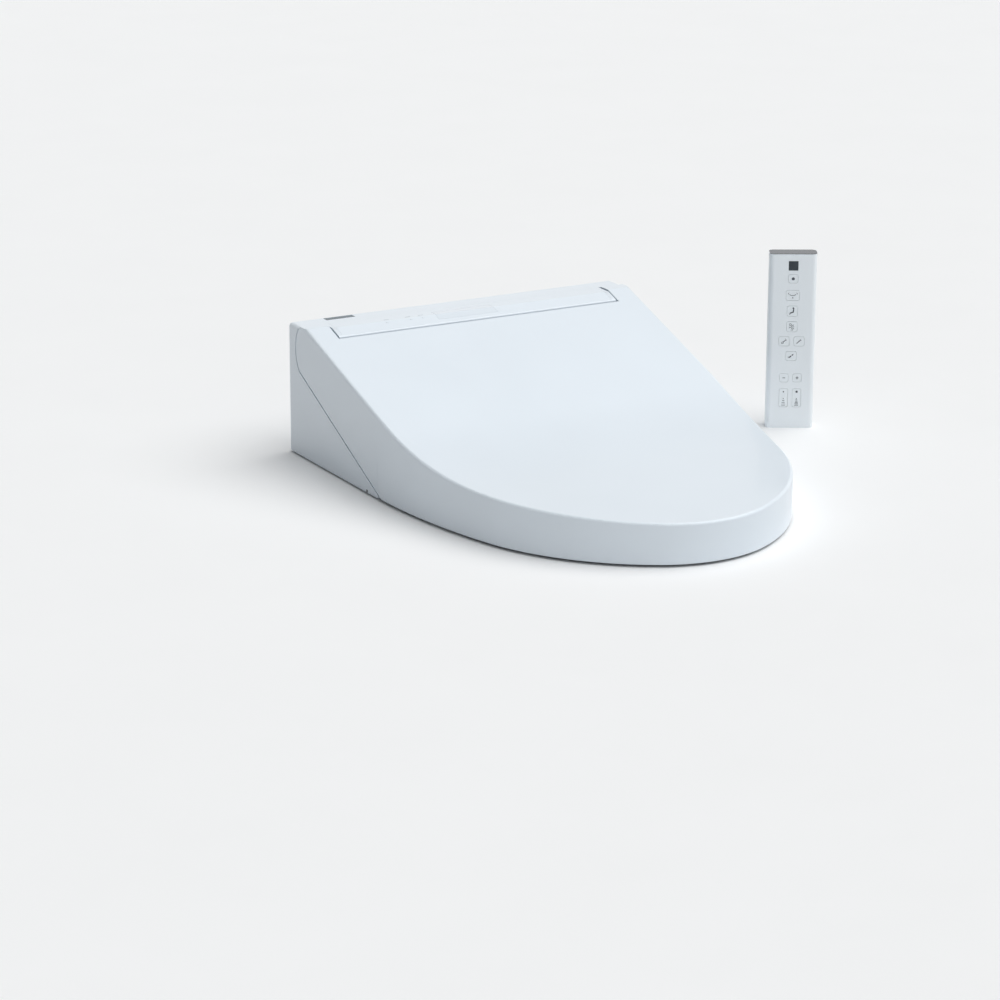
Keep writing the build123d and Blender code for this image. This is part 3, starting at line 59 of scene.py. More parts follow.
# Faces across a rounding, a small rounding and an eased edge.
ROUND_STEPS = 4
SMALL_STEPS = 3
EASE_STEPS = 2
# Distances within which a corner is on the outermost side, or on a rim.
SIDE_NEAR = 1e-5
RIM_NEAR = 0.0003
# Pattern values between which a finish goes from its low end to its high end.
PATTERN: tuple[float, float] = (0.3, 0.7)

Rgb = tuple[float, float, float]
Point = tuple[float, float, float]
Span = tuple[float, float]
Shape = bmesh.types.BMesh
Corner = bmesh.types.BMVert
Edge = bmesh.types.BMEdge
Socket = bpy.types.NodeSocket


class Tree:
    """A small writer for one material's node tree."""

    def __init__(self, name: str) -> None:
        """Starts an empty material with a principled shader.

        Args:
            name: Name of the material.
        """
        self.material = bpy.data.materials.new(name)
        self.material.use_nodes = True
        self.nodes = self.material.node_tree.nodes
        self.links = self.material.node_tree.links
        self.nodes.clear()
        output = self.nodes.new("ShaderNodeOutputMaterial")
        self.shader = self.nodes.new("ShaderNodeBsdfPrincipled")
        self.links.new(self.shader.outputs["BSDF"], output.inputs["Surface"])
        self.coordinates = self.nodes.new("ShaderNodeTexCoord")

    def add(self, kind: str, values: dict[str, object] | None = None, mapped: bool = False,
            **settings: object) -> bpy.types.Node:
        """Adds one node.

        Args:
            kind: Blender's node type.
            values: Input sockets to set by name.
            mapped: Whether it works in the piece's own coordinates.
            settings: Node properties to set by name.

        Returns:
            The new node.
        """
        node = self.nodes.new(kind)
        for key, value in settings.items():
            setattr(node, key, value)
        for key, value in (values or {}).items():
            node.inputs[key].default_value = value
        if mapped:
            self.link(self.coordinates.outputs["Object"], node.inputs["Vector"])
        return node

    def link(self, source: Socket, target: Socket) -> None:
        """Joins two sockets."""
        self.links.new(source, target)

    def noise(self, size: float, detail: float = 3.0) -> Socket:
        """Adds a noise pattern with features of a size in metres."""
        return self.add("ShaderNodeTexNoise", {"Scale": 1.0 / size, "Detail": detail}, True).outputs["Fac"]

    def height(self, low: float, high: float) -> Socket:
        """Adds a value that grows from 0 to 1 between two heights.

        Args:
            low: Height at which it starts to grow.
            high: Height at which it is full.

        Returns:
            The value.
        """
        split = self.add("ShaderNodeSeparateXYZ", mapped=True)
        span = self.add("ShaderNodeMapRange", {"From Min": low, "From Max": high})
        self.link(split.outputs["Z"], span.inputs["Value"])
        return span.outputs["Result"]

    def paint(self, factor: Socket, low: Rgb, high: Rgb, span: Span = PATTERN) -> None:
        """Colours the surface by a pattern, between two tones.

        Args:
            factor: The pattern.
            low: Colour at the pattern's low end.
            high: Colour at its high end.
            span: Pattern values at which the two tones stand.
        """
        ramp = self.add("ShaderNodeValToRGB")
        for element, position, tone in zip(ramp.color_ramp.elements, span, (low, high)):
            element.position = position
            element.color = (*tone, 1.0)
        self.link(factor, ramp.inputs["Fac"])
        self.link(ramp.outputs["Color"], self.shader.inputs["Base Color"])

    def roughen(self, factor: Socket, low: float, high: float) -> None:
        """Lets a pattern set the roughness between two values.

        Args:
            factor: The pattern.
            low: Roughness at the pattern's low end.
            high: Roughness at its high end.
        """
        node = self.add("ShaderNodeMapRange", {
            "From Min": PATTERN[0], "From Max": PATTERN[1], "To Min": low, "To Max": high,
        })
        self.link(factor, node.inputs["Value"])
        self.link(node.outputs["Result"], self.shader.inputs["Roughness"])

    def bump(self, height: Socket, depth: float, strength: float = 1.0) -> None:
        """Gives the shader a relief.

        Args:
            height: Pattern of the relief.
            depth: Depth of the relief in metres.
            strength: Share of the relief that shows.
        """
        node = self.add("ShaderNodeBump", {"Strength": strength, "Distance": depth})
        self.link(height, node.inputs["Height"])
        previous = self.shader.inputs["Normal"].links
        if previous:
            self.link(previous[0].from_socket, node.inputs["Normal"])
        self.link(node.outputs["Normal"], self.shader.inputs["Normal"])

    def set(self, **values: float) -> None:
        """Sets plain values on the shader, with underscores for spaces in its socket names."""
        for key, value in values.items():
            self.shader.inputs[key.replace("_", " ")].default_value = value


@dataclass(frozen=True)
class Finish:
    """Common facts of one surface finish.

    Attributes:
        name: Name of the finish.
        colour: Main colour, linear.
        roughness: Middle of the roughness.
    """

    name: str
    colour: Rgb
    roughness: float

    def shade(self, factor: float) -> Rgb:
        """Gives the main colour made darker or lighter."""
        return tuple(min(1.0, channel * factor) for channel in self.colour)

    def draw(self, tree: Tree) -> None:
        """Draws the finish into an empty tree."""
        raise NotImplementedError

    def material(self) -> bpy.types.Material:
        """Makes the finish's material, once.

        Returns:
            The material.
        """
        found = bpy.data.materials.get(f"finish_{self.name}")
        if found:
            return found
        tree = Tree(f"finish_{self.name}")
        self.draw(tree)
        tree.material.diffuse_color = (*self.colour, 1.0)
        return tree.material


@dataclass(frozen=True)
class MouldedPlastic(Finish):
    """Injection-moulded plastic: slow colour drift, handling marks and a fine skin.

    Attributes:
        coat: Strength of the polished skin.
        skin: Size of the skin's relief in metres.
        relief: Depth of the skin's relief in metres.
        drift: Share by which the colour drifts over the piece.
    """

    coat: float = 0.0
    skin: float = 0.0016
    relief: float = 0.000004
    drift: float = 0.015

    def draw(self, tree: Tree) -> None:
        """Draws drift, handling marks and skin.

        Args:
            tree: The tree to draw into.
        """
        slow = tree.noise(0.16, 2.0)
        tree.paint(slow, self.shade(1.0 - self.drift), self.shade(1.0 + self.drift))
        handling = tree.noise(0.045, 4.0)
        tree.roughen(handling, self.roughness * 0.92, self.roughness * 1.08)
        tree.set(IOR=1.5, Coat_Weight=self.coat, Coat_Roughness=0.06)
        tree.bump(tree.noise(self.skin, 2.0), self.relief)


@dataclass(frozen=True)
class SparkedPlastic(Finish):
    """Plastic from a spark-eroded mould, with an even fine grain.

    Attributes:
        grain: Size of the grain in metres.
        relief: Depth of the grain in metres.
    """

    grain: float = 0.0006
    relief: float = 0.00002

    def draw(self, tree: Tree) -> None:
        """Draws the grain, with painted highlight on its crests and painted shade in its pits.

        Args:
            tree: The tree to draw into.
        """
        grain = tree.noise(self.grain, 3.0)
        # Painted highlight and shade: the grain that raises the relief also paints its crests lighter and its
        # pits darker.
        tree.paint(grain, self.shade(0.94), self.shade(1.03))
        wear = tree.noise(0.03, 4.0)
        tree.roughen(wear, self.roughness - 0.05, self.roughness + 0.06)
        tree.set(IOR=1.48)
        tree.bump(grain, self.relief)


@dataclass(frozen=True)
class SmokedWindow(Finish):
    """Dark infrared window: polished, with a little depth in its colour."""

    def draw(self, tree: Tree) -> None:
        """Draws the depth of the tint under a polished skin.

        Args:
            tree: The tree to draw into.
        """
        depth = tree.noise(0.012, 2.0)
        tree.paint(depth, self.shade(0.8), self.shade(1.25))
        dust = tree.noise(0.0009, 5.0)
        tree.roughen(dust, self.roughness * 0.7, self.roughness * 1.6)
        tree.set(IOR=1.4)


@dataclass(frozen=True)
class SoftRubber(Finish):
    """Soft pad rubber with a dusty, pitted skin."""

    def draw(self, tree: Tree) -> None:
        """Draws pits and dust.

        Args:
            tree: The tree to draw into.
        """
        pits = tree.noise(0.0005, 4.0)
        dust = tree.noise(0.006, 3.0)
        tree.paint(dust, self.shade(0.85), self.shade(1.2))
        tree.roughen(pits, self.roughness - 0.08, self.roughness + 0.06)
        tree.set(Sheen_Weight=0.15, Sheen_Roughness=0.5)
        tree.bump(pits, 0.00003)


@dataclass(frozen=True)
class TurnedMetal(Finish):
    """Turned or drawn metal with fine tool lines.

    Attributes:
        lines: Spacing of the tool lines in metres.
    """

    lines: float = 0.0003

    def draw(self, tree: Tree) -> None:
        """Draws the tool lines and a slow tarnish.

        Args:
            tree: The tree to draw into.
        """
        lines = {"Scale": 0.05 / self.lines, "Distortion": 0.6, "Detail": 2.0}
        wave = tree.add("ShaderNodeTexWave", lines, True, bands_direction="X")
        tarnish = tree.noise(0.009, 4.0)
        tree.paint(tarnish, self.shade(0.82), self.shade(1.06))
        tree.roughen(tarnish, self.roughness * 0.8, self.roughness * 1.3)
        tree.set(Metallic=1.0)
        tree.bump(wave.outputs["Fac"], 0.000008)


@dataclass(frozen=True)
class Laminate(Finish):
    """Circuit board with copper tracks under its lacquer.

    Attributes:
        track: Spacing of the tracks in metres.
    """

    track: float = 0.0025

    def draw(self, tree: Tree) -> None:
        """Draws tracks and pads under the lacquer.

        Args:
            tree: The tree to draw into.
        """
        brick = tree.add("ShaderNodeTexBrick", {
            "Scale": 1.0, "Mortar Size": self.track * 0.12, "Brick Width": self.track * 6.0,
            "Row Height": self.track, "Color1": (*self.shade(0.85), 1.0), "Color2": (*self.shade(1.0), 1.0),
            "Mortar": (*self.shade(1.8), 1.0),
        }, True)
        tree.link(brick.outputs["Color"], tree.shader.inputs["Base Color"])
        gloss = tree.noise(0.004, 3.0)
        tree.roughen(gloss, self.roughness * 0.7, self.roughness * 1.3)
        tree.bump(brick.outputs["Fac"], 0.00002)


@dataclass(frozen=True)
class HeaterFoil(Finish):
    """Aluminium foil with creases over a heating wire."""

    def draw(self, tree: Tree) -> None:
        """Draws creases and the line of the wire, with a painted highlight along its raised line.

        Args:
            tree: The tree to draw into.
        """
        creases = tree.add("ShaderNodeTexVoronoi", {"Scale": 140.0}, True, feature="DISTANCE_TO_EDGE")
        wire = tree.add("ShaderNodeTexWave", {"Scale": 6.0, "Distortion": 1.0}, True, wave_type="RINGS",
                        rings_direction="Z")
        # Painted highlight: the foil is lighter along the wire's raised line, darker beside it.
        tree.paint(wire.outputs["Fac"], self.shade(0.9), self.shade(1.0), (0.82, 0.95))
        tree.roughen(tree.noise(0.006), self.roughness * 0.7, self.roughness * 1.4)
        tree.set(Metallic=0.9)
        tree.bump(creases.outputs["Distance"], 0.0004, 0.5)
        tree.bump(wire.outputs["Fac"], 0.0006, 0.5)


@dataclass(frozen=True)
class Silicone(Finish):
    """Milky silicone hose with a faint bloom."""

    def draw(self, tree: Tree) -> None:
        """Draws the bloom and the milky depth.

        Args:
            tree: The tree to draw into.
        """
        bloom = tree.noise(0.008, 4.0)
        tree.paint(bloom, self.shade(0.9), self.shade(1.08))
        tree.roughen(bloom, self.roughness - 0.08, self.roughness + 0.1)
        tree.set(Transmission_Weight=0.12, IOR=1.42)
        tree.bump(tree.noise(0.0012, 2.0), 0.00001)


@dataclass(frozen=True)
class PrintInk(Finish):
    """Pad-printed ink, a little uneven."""

    def draw(self, tree: Tree) -> None:
        """Draws the uneven film.

        Args:
            tree: The tree to draw into.
        """
        film = tree.noise(0.0004, 4.0)
        tree.paint(film, self.shade(0.85), self.shade(1.25))
        tree.roughen(film, self.roughness - 0.06, self.roughness + 0.06)
        tree.bump(film, 0.000006)


@dataclass(frozen=True)
class CarbonFilter(Finish):
    """Block of activated carbon with open cells.

    Attributes:
        cell: Size of a cell in metres.
    """

    cell: float = 0.0022

    def draw(self, tree: Tree) -> None:
        """Draws the open cells, with painted shade in their hollows.

        Args:
            tree: The tree to draw into.
        """
        cells = tree.add("ShaderNodeTexVoronoi", {"Scale": 1.0 / self.cell, "Randomness": 0.25}, True)
        # Painted shade: each cell is darker towards its sunken middle and lighter on its rim.
        tree.paint(cells.outputs["Distance"], self.shade(0.4), self.shade(1.3), (0.25, 0.6))
        tree.roughen(cells.outputs["Distance"], self.roughness - 0.1, self.roughness + 0.1)
        tree.bump(cells.outputs["Distance"], 0.0008)


@dataclass(frozen=True)
class TwoToned(Finish):
    """Two tones that meet at a height: a sleeve under a bare end, or a pale end under a window.

    Attributes:
        upper: Colour of the upper part.
        level: Height at which it begins, in metres.
        fade: Half the height of the soft edge, in metres.
        dust: Size in metres and detail of the dust.
        dull: Share of the roughness under the dust.
        metallic: Share of bare metal.
        ior: Index of refraction.
    """

    upper: Rgb
    level: float
    fade: float
    dust: Span
    dull: float
    metallic: float
    ior: float

    def draw(self, tree: Tree) -> None:
        """Draws the two tones and the dust.

        Args:
            tree: The tree to draw into.
        """
        tree.paint(tree.height(self.level - self.fade, self.level + self.fade), self.colour, self.upper)
        tree.roughen(tree.noise(*self.dust), self.roughness * 0.8, self.roughness * self.dull)
        tree.set(Metallic=self.metallic, IOR=self.ior)


WHITE: Rgb = (0.735, 0.805, 0.868)
WINDOW_DARK: Rgb = (0.034, 0.044, 0.058)
HANDSET_WHITE: Rgb = (0.86, 0.91, 0.945)

FINISHES: dict[str, Finish] = {finish.name: finish for finish in (
    MouldedPlastic("white_gloss", WHITE, 0.32, coat=0.3),
    MouldedPlastic("seat_white", (0.76, 0.80, 0.845), 0.34, coat=0.2),
    SparkedPlastic("white_matte", (0.70, 0.745, 0.79), 0.5),
    MouldedPlastic("key_white", HANDSET_WHITE, 0.34, coat=0.1, drift=0.006),
    SmokedWindow("dark_window", WINDOW_DARK, 0.15),
    MouldedPlastic("panel_window", (0.725, 0.795, 0.86), 0.2, coat=0.35),
    SmokedWindow("lens", (0.60, 0.67, 0.73), 0.16),
    SoftRubber("soft_pad", (0.11, 0.115, 0.125), 0.7),
    TurnedMetal("steel", (0.62, 0.63, 0.64), 0.2),
    SparkedPlastic("bearing_plastic", (0.30, 0.31, 0.32), 0.42),
    TurnedMetal("inlet_brass", (0.72, 0.68, 0.60), 0.2),
    SparkedPlastic("tank_plastic", (0.52, 0.53, 0.50), 0.5, grain=0.001),
    Silicone("hose", (0.62, 0.64, 0.64), 0.42),
    Laminate("circuit_board", (0.03, 0.15, 0.07), 0.42),
    SparkedPlastic("black_plastic", (0.045, 0.047, 0.052), 0.45),
    HeaterFoil("heater_foil", (0.77, 0.77, 0.78), 0.42),
    TwoToned("battery", (0.06, 0.065, 0.075), 0.36, upper=(0.42, 0.33, 0.16), level=0.0436, fade=JOIN,
             dust=(0.003, 3.0), dull=1.3, metallic=0.35, ior=1.5),
)}
INK = PrintInk("ink", (0.055, 0.065, 0.08), 0.5)
PALE_INK = PrintInk("pale_ink", (0.42, 0.46, 0.50), 0.5)
FILTER = CarbonFilter("carbon", (0.035, 0.036, 0.038), 0.8)
SENSOR_SMOKE = SmokedWindow("sensor_smoke", (0.020, 0.062, 0.095), 0.15)
HANDSET_END = TwoToned("handset_end", HANDSET_WHITE, 0.16, upper=WINDOW_DARK, level=0.1895, fade=0.0002,
                       dust=(0.0009, 5.0), dull=1.4, metallic=0.0, ior=1.4)
HANDSET_BACK = SparkedPlastic("handset_back", (0.80, 0.845, 0.885), 0.48)


def turned(angle_deg: float, axis: str) -> Matrix:
    """Gives a turn about one axis."""
    return Matrix.Rotation(math.radians(angle_deg), 4, axis)


def add_object(name: str, data: bpy.types.ID) -> bpy.types.Object:
    """Adds an object to the scene.

    Args:
        name: Name of the object.
        data: Its mesh, lamp or camera.

    Returns:
        The new object.
    """
    made = bpy.data.objects.new(name, data)
    bpy.context.scene.collection.objects.link(made)
    return made


def make_piece(name: str, shape: Shape, finish: Finish) -> bpy.types.Object:
    """Turns a finished bmesh into an object at the origin.

    Args:
        name: Name of the piece.
        shape: The bmesh, which is freed.
        finish: Finish of the piece.

    Returns:
        The new object.
    """
    bmesh.ops.remove_doubles(shape, verts=shape.verts, dist=MERGE)
    bmesh.ops.recalc_face_normals(shape, faces=shape.faces)
    for face in shape.faces:
        face.smooth = True
    for edge in shape.edges:
        edge.smooth = len(edge.link_faces) == 2 and edge.calc_face_angle(0.0) < math.radians(SHARP_DEG)
    mesh = bpy.data.meshes.new(name)
    shape.to_mesh(mesh)
    shape.free()
    mesh.materials.append(finish.material())
    return add_object(name, mesh)


def picked(made: dict[str, list], kind: type) -> list:
    """Picks the items of one kind out of what an operator made."""
    return [item for item in made["geom"] if isinstance(item, kind)]


def merged(node: str) -> Shape:
    """Copies a node's mesh and joins the corners that its faces share.

    Args:
        node: The CAD node.

    Returns:
        The merged copy.
    """
    shape = bmesh.new()
    shape.from_mesh(frame["nodes"][node].data)
    bmesh.ops.remove_doubles(shape, verts=shape.verts, dist=JOIN)
    return shape


def flatten(shape: Shape, limit_deg: float) -> None:
    """Joins neighbouring faces that lie in one plane, within a small angle."""
    bmesh.ops.dissolve_limit(shape, angle_limit=math.radians(limit_deg), verts=shape.verts, edges=shape.edges)


def sharp_edges(shape: Shape, least_deg: float) -> list[Edge]:
    """Lists the edges whose two faces meet at more than an angle."""
    least = math.radians(least_deg)
    return [edge for edge in shape.edges if len(edge.link_faces) == 2 and edge.calc_face_angle(0.0) > least]


def bevel(shape: Shape, geom: list, width: float, segments: int, affect: str = "EDGES",
          clamp: bool = False) -> None:
    """Rounds edges, or corners, by a width in metres with a number of faces across."""
    bmesh.ops.bevel(shape, geom=geom, offset=width, offset_type="OFFSET", affect=affect, segments=segments,
                    profile=0.5, material=-1, clamp_overlap=clamp)


def softened(node: str, width: float) -> Shape:
    """Copies a node's mesh and rounds its sharp edges.

    Args:
        node: The CAD node.
        width: Width of the rounding in metres.

    Returns:
        The rounded copy.
    """
    shape = merged(node)
    flatten(shape, SMALL_FLAT_DEG)
    bevel(shape, sharp_edges(shape, SHARP_DEG), width, ROUND_STEPS, clamp=True)
    return shape


def ease_sides(shape: Shape, width: float) -> None:
    """Eases the sharp edges that run along the outer sides of lid or main unit.

    Args:
        shape: The merged copy of a node.
        width: Width of the easing in metres.
    """
    side_x = max(vert.co.x for vert in shape.verts)
    outside = [edge for edge in sharp_edges(shape, SIDE_DEG)
               if all(abs(abs(vert.co.x) - side_x) < SIDE_NEAR for vert in edge.verts)]
    bevel(shape, outside, width, EASE_STEPS)


def round_rim(shape: Shape, start: Point, end: Span, width: float) -> None:
    """Rounds the upper edges of a strip or cut-out: the one across the seat and the two up the slope.

    Args:
        shape: The bmesh to work on.
        start: Half width, place from front to back and height of the edge across.
        end: Place from front to back and height at which the sloped edges end.
        width: Width of the rounding.
    """
    rise = (end[1] - start[2]) / (end[0] - start[1])

    def on_rim(vert: Corner) -> bool:
        """Tells if a corner lies on the rim."""
        off = (abs(vert.co.x) - start[0], vert.co.z - start[2] - rise * (vert.co.y - start[1]))
        return start[1] - RIM_NEAR < vert.co.y < end[0] + RIM_NEAR and max(map(abs, off)) < RIM_NEAR

    edges = [edge for edge in shape.edges if all(on_rim(vert) for vert in edge.verts)]
    bevel(shape, edges, width, ROUND_STEPS)


@dataclass
class NodeDresser:
    """Gives every CAD node the finish of its material slot.

    Attributes:
        special: Nodes whose finish differs from their slot's.
    """

    special: dict[str, Finish] = field(default_factory=lambda: {
        "deodorizer_filter": FILTER,
        "sensor_window": SENSOR_SMOKE,
        "remote_front": FINISHES["key_white"],
        "remote_end": HANDSET_END,
        "remote_back": HANDSET_BACK,
        "battery_cover": HANDSET_BACK,
    })

    def dress(self) -> None:
        """Dresses all nodes."""
        for entry in frame["record"]["subparts"]:
            node = entry["node"]
            finish = self.special.get(node, FINISHES[entry["material_slot"]])
            mesh = frame["nodes"][node].data
            if not mesh.materials:
                mesh.materials.append(None)
            for index in range(len(mesh.materials)):
                mesh.materials[index] = finish.material()
            LOG.info("node %s: %s", node, finish.name)


def seat_piece(name: str, shape: Shape, body: str, slot: str, *replaced: str, finish: Finish | None = None,
               even: bool = False) -> None:
    """Makes a piece that rides on its body, and hides the CAD nodes that it stands for.

    Args:
        name: Name of the piece.
        shape: Its bmesh, which is freed.
        body: The CAD body that carries it.
        slot: The material slot whose finish it takes when none is given.
        replaced: CAD nodes that it stands for.
        finish: Its finish, if it isn't the slot's own.
        even: Whether its large faces set its shading.
    """
    piece = make_piece(name, shape, finish or FINISHES[slot])
    if even:
        weighted = piece.modifiers.new("even_shading", "WEIGHTED_NORMAL")
        weighted.mode = "FACE_AREA"
        weighted.keep_sharp = True
    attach(piece, body)
    if replaced:
        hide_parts(*replaced)
    LOG.info("piece %s rides on %s", piece.name, body)


def lathe(shape: Shape, profile: list[Span], matrix: Matrix, steps: int = 32) -> None:
    """Turns a profile once round the Z axis and adds it to a bmesh.

    Args:
        shape: The bmesh to add to.
        profile: Radius and height of each corner in metres, from end to end.
        matrix: Place of the turned piece.
        steps: Faces round the piece.
    """
    before = set(shape.verts)
    corners = [shape.verts.new((radius, 0.0, height)) for radius, height in profile]
    edges = [shape.edges.new(pair) for pair in zip(corners, corners[1:])]
    bmesh.ops.spin(shape, geom=corners + edges, cent=(0, 0, 0), axis=(0, 0, 1), dvec=(0, 0, 0),
                   angle=math.tau, steps=steps, use_merge=True, use_normal_flip=False)

    def added() -> list[Corner]:
        """Lists the corners of the turned piece."""
        return [vert for vert in shape.verts if vert not in before]

    bmesh.ops.remove_doubles(shape, verts=added(), dist=MERGE)
    bmesh.ops.transform(shape, matrix=matrix, verts=added())


class Sign(Enum):
    """Generic marks on the keys."""

    STOP = auto()
    SWING = auto()
    SEATED = auto()
    WARM_AIR = auto()
    SOFT_SPRAY = auto()
    FRONT_SPRAY = auto()
    PULSE = auto()
    MINUS = auto()
    PLUS = auto()
    SMALL_GAUGE = auto()
    LARGE_GAUGE = auto()


@dataclass
class Stencil:
    """Draws flat marks on an upright face, x to the right and z up, in millimetres.

    Attributes:
        thickness: Height of the ink film in metres.
        shape: The marks drawn so far.
        corner: Rounding of a bar's corners over its width.
        dot_steps: Corners of a dot.
        arc_steps: Faces along an arc.
        gauge_height: Height of a gauge from its upper to its lower step.
        gauge_length: Length of its upper and of its lower step.
        gauge_bar: Width of its steps.
    """

    thickness: float
    shape: Shape = field(default_factory=bmesh.new)
    corner: float = 0.42
    dot_steps: int = 20
    arc_steps: int = 16
    gauge_height: float = 6.6
    gauge_length: Span = (1.1, 3.9)
    gauge_bar: float = 0.55

    def bar(self, x: float, z: float, length: float, width: float, turn_deg: float = 0.0) -> None:
        """Adds a stroke with rounded ends.

        Args:
            x: Middle of the stroke.
            z: Middle of the stroke.
            length: Length of the stroke.
            width: Width of the stroke.
            turn_deg: Turn from level.
        """
        size = Matrix.Diagonal((length * MM, width * MM, 1.0, 1.0))
        place = Matrix.Translation((x * MM, 0.0, z * MM)) @ turned(-turn_deg, "Y") @ turned(90.0, "X") @ size
        made = bmesh.ops.create_grid(self.shape, x_segments=1, y_segments=1, size=0.5, matrix=place)
        bevel(self.shape, made["verts"], width * self.corner * MM, ROUND_STEPS, "VERTICES")

    def dot(self, x: float, z: float, radius: float) -> None:
        """Adds a round dot."""
        place = Matrix.Translation((x * MM, 0.0, z * MM)) @ turned(90.0, "X")
        bmesh.ops.create_circle(self.shape, cap_ends=True, segments=self.dot_steps, radius=radius * MM,
                                matrix=place)

    def arc(self, x: float, z: float, radius: float, width: float, start_deg: float,
            sweep_deg: float) -> None:
        """Adds a curved stroke.

        Args:
            x: Centre of the curve.
            z: Centre of the curve.
            radius: Radius of the stroke's middle.
            width: Width of the stroke.
            start_deg: Angle at which it starts, from the right and upwards.
            sweep_deg: Angle that it runs through.
        """
        angle = math.radians(start_deg)
        ends = []
        for reach in (radius - width / 2, radius + width / 2):
            at = ((x + reach * math.cos(angle)) * MM, 0.0, (z + reach * math.sin(angle)) * MM)
            ends.append(self.shape.verts.new(at))
        edge = self.shape.edges.new(ends)
        bmesh.ops.spin(self.shape, geom=[*ends, edge], cent=(x * MM, 0.0, z * MM), axis=(0, -1, 0),
                       dvec=(0, 0, 0), angle=math.radians(sweep_deg), steps=self.arc_steps,
                       use_merge=sweep_deg == 360.0, use_normal_flip=False)

    def ring(self, x: float, z: float, radius: float, width: float) -> None:
        """Adds a thin ring."""
        self.arc(x, z, radius, width, 0.0, 360.0)

    def spray(self, x: float, z: float, length: float, width: float) -> None:
        """Adds a slanting jet with two drops at its upper end.

        Args:
            x: Middle of the jet.
            z: Middle of the jet.
            length: Length of the jet.
            width: Width of the jet.
        """
        self.bar(x, z, length, width, 40.0)
        self.dot(x + length * 0.52, z + length * 0.28, width * 0.45)
        self.dot(x + length * 0.30, z + length * 0.55, width * 0.45)

    def gauge(self, x: float, z: float, steps: int) -> None:
        """Adds a tall gauge of steps that widen downwards.

        Args:
            x: Middle of the gauge.
            z: Middle of the gauge.
            steps: Number of steps.
        """
        short, long = self.gauge_length
        for step in range(steps):
            share = step / (steps - 1)
            height = z + self.gauge_height * (0.5 - share)
            self.bar(x, height, short + (long - short) * share, self.gauge_bar)

    def draw(self, sign: Sign) -> None:
        """Draws one sign round the key's middle.

        Args:
            sign: The sign to draw.
        """
        match sign:
            case Sign.STOP:
                self.bar(0.0, 0.0, 2.9, 2.7)
            case Sign.SWING:
                self.arc(0.0, 4.2, 4.4, 0.5, 225.0, 90.0)
                self.arc(-3.5, 1.6, 0.7, 0.5, 90.0, 130.0)
                self.arc(3.5, 1.6, 0.7, 0.5, -40.0, 130.0)
                self.dot(0.0, -2.3, 0.55)
            case Sign.SEATED:
                self.dot(1.0, 2.7, 0.85)
                self.bar(1.0, 0.2, 3.4, 1.1, 80.0)
                self.bar(-0.6, -1.5, 3.6, 1.1, 18.0)
                self.bar(-2.2, -2.6, 1.6, 0.7, 70.0)
            case Sign.WARM_AIR:
                for height in (1.7, 0.0, -1.7):
                    self.arc(-1.5, height, 1.15, 0.45, 20.0, 140.0)
                    self.arc(0.75, height + 0.75, 1.15, 0.45, 200.0, 140.0)
                self.bar(0.0, -3.2, 2.4, 0.4)
            case Sign.SOFT_SPRAY:
                self.spray(0.4, 0.2, 3.6, 0.75)
                self.ring(-1.5, -1.4, 0.9, 0.4)
            case Sign.FRONT_SPRAY:
                self.spray(0.0, 0.0, 3.8, 0.7)
                self.bar(-1.9, -1.7, 1.4, 0.5, 10.0)
            case Sign.PULSE:
                self.bar(-0.9, -0.8, 2.6, 1.1, 40.0)
                self.bar(1.3, 1.1, 1.9, 1.0, 40.0)
                self.dot(-2.6, -1.2, 0.45)
            case Sign.MINUS:
                self.bar(0.0, 0.0, 2.6, 0.6)
            case Sign.PLUS:
                self.bar(0.0, 0.0, 2.8, 0.65)
                self.bar(0.0, 0.0, 2.8, 0.65, 90.0)
            case Sign.SMALL_GAUGE:
                self.dot(0.0, 6.0, 0.65)
                self.gauge(0.0, -3.9, 4)
            case Sign.LARGE_GAUGE:
                self.dot(0.0, 6.0, 1.05)
                self.gauge(0.0, -3.9, 6)

    def raised(self, matrix: Matrix) -> Shape:
        """Gives the marks their thickness and puts them on their face.

        Args:
            matrix: Place of the stencil.

        Returns:
            The finished bmesh.
        """
        made = bmesh.ops.extrude_face_region(self.shape, geom=list(self.shape.faces))
        bmesh.ops.translate(self.shape, vec=(0.0, -self.thickness, 0.0), verts=picked(made, Corner))
        bmesh.ops.transform(self.shape, matrix=matrix, verts=self.shape.verts)
        return self.shape


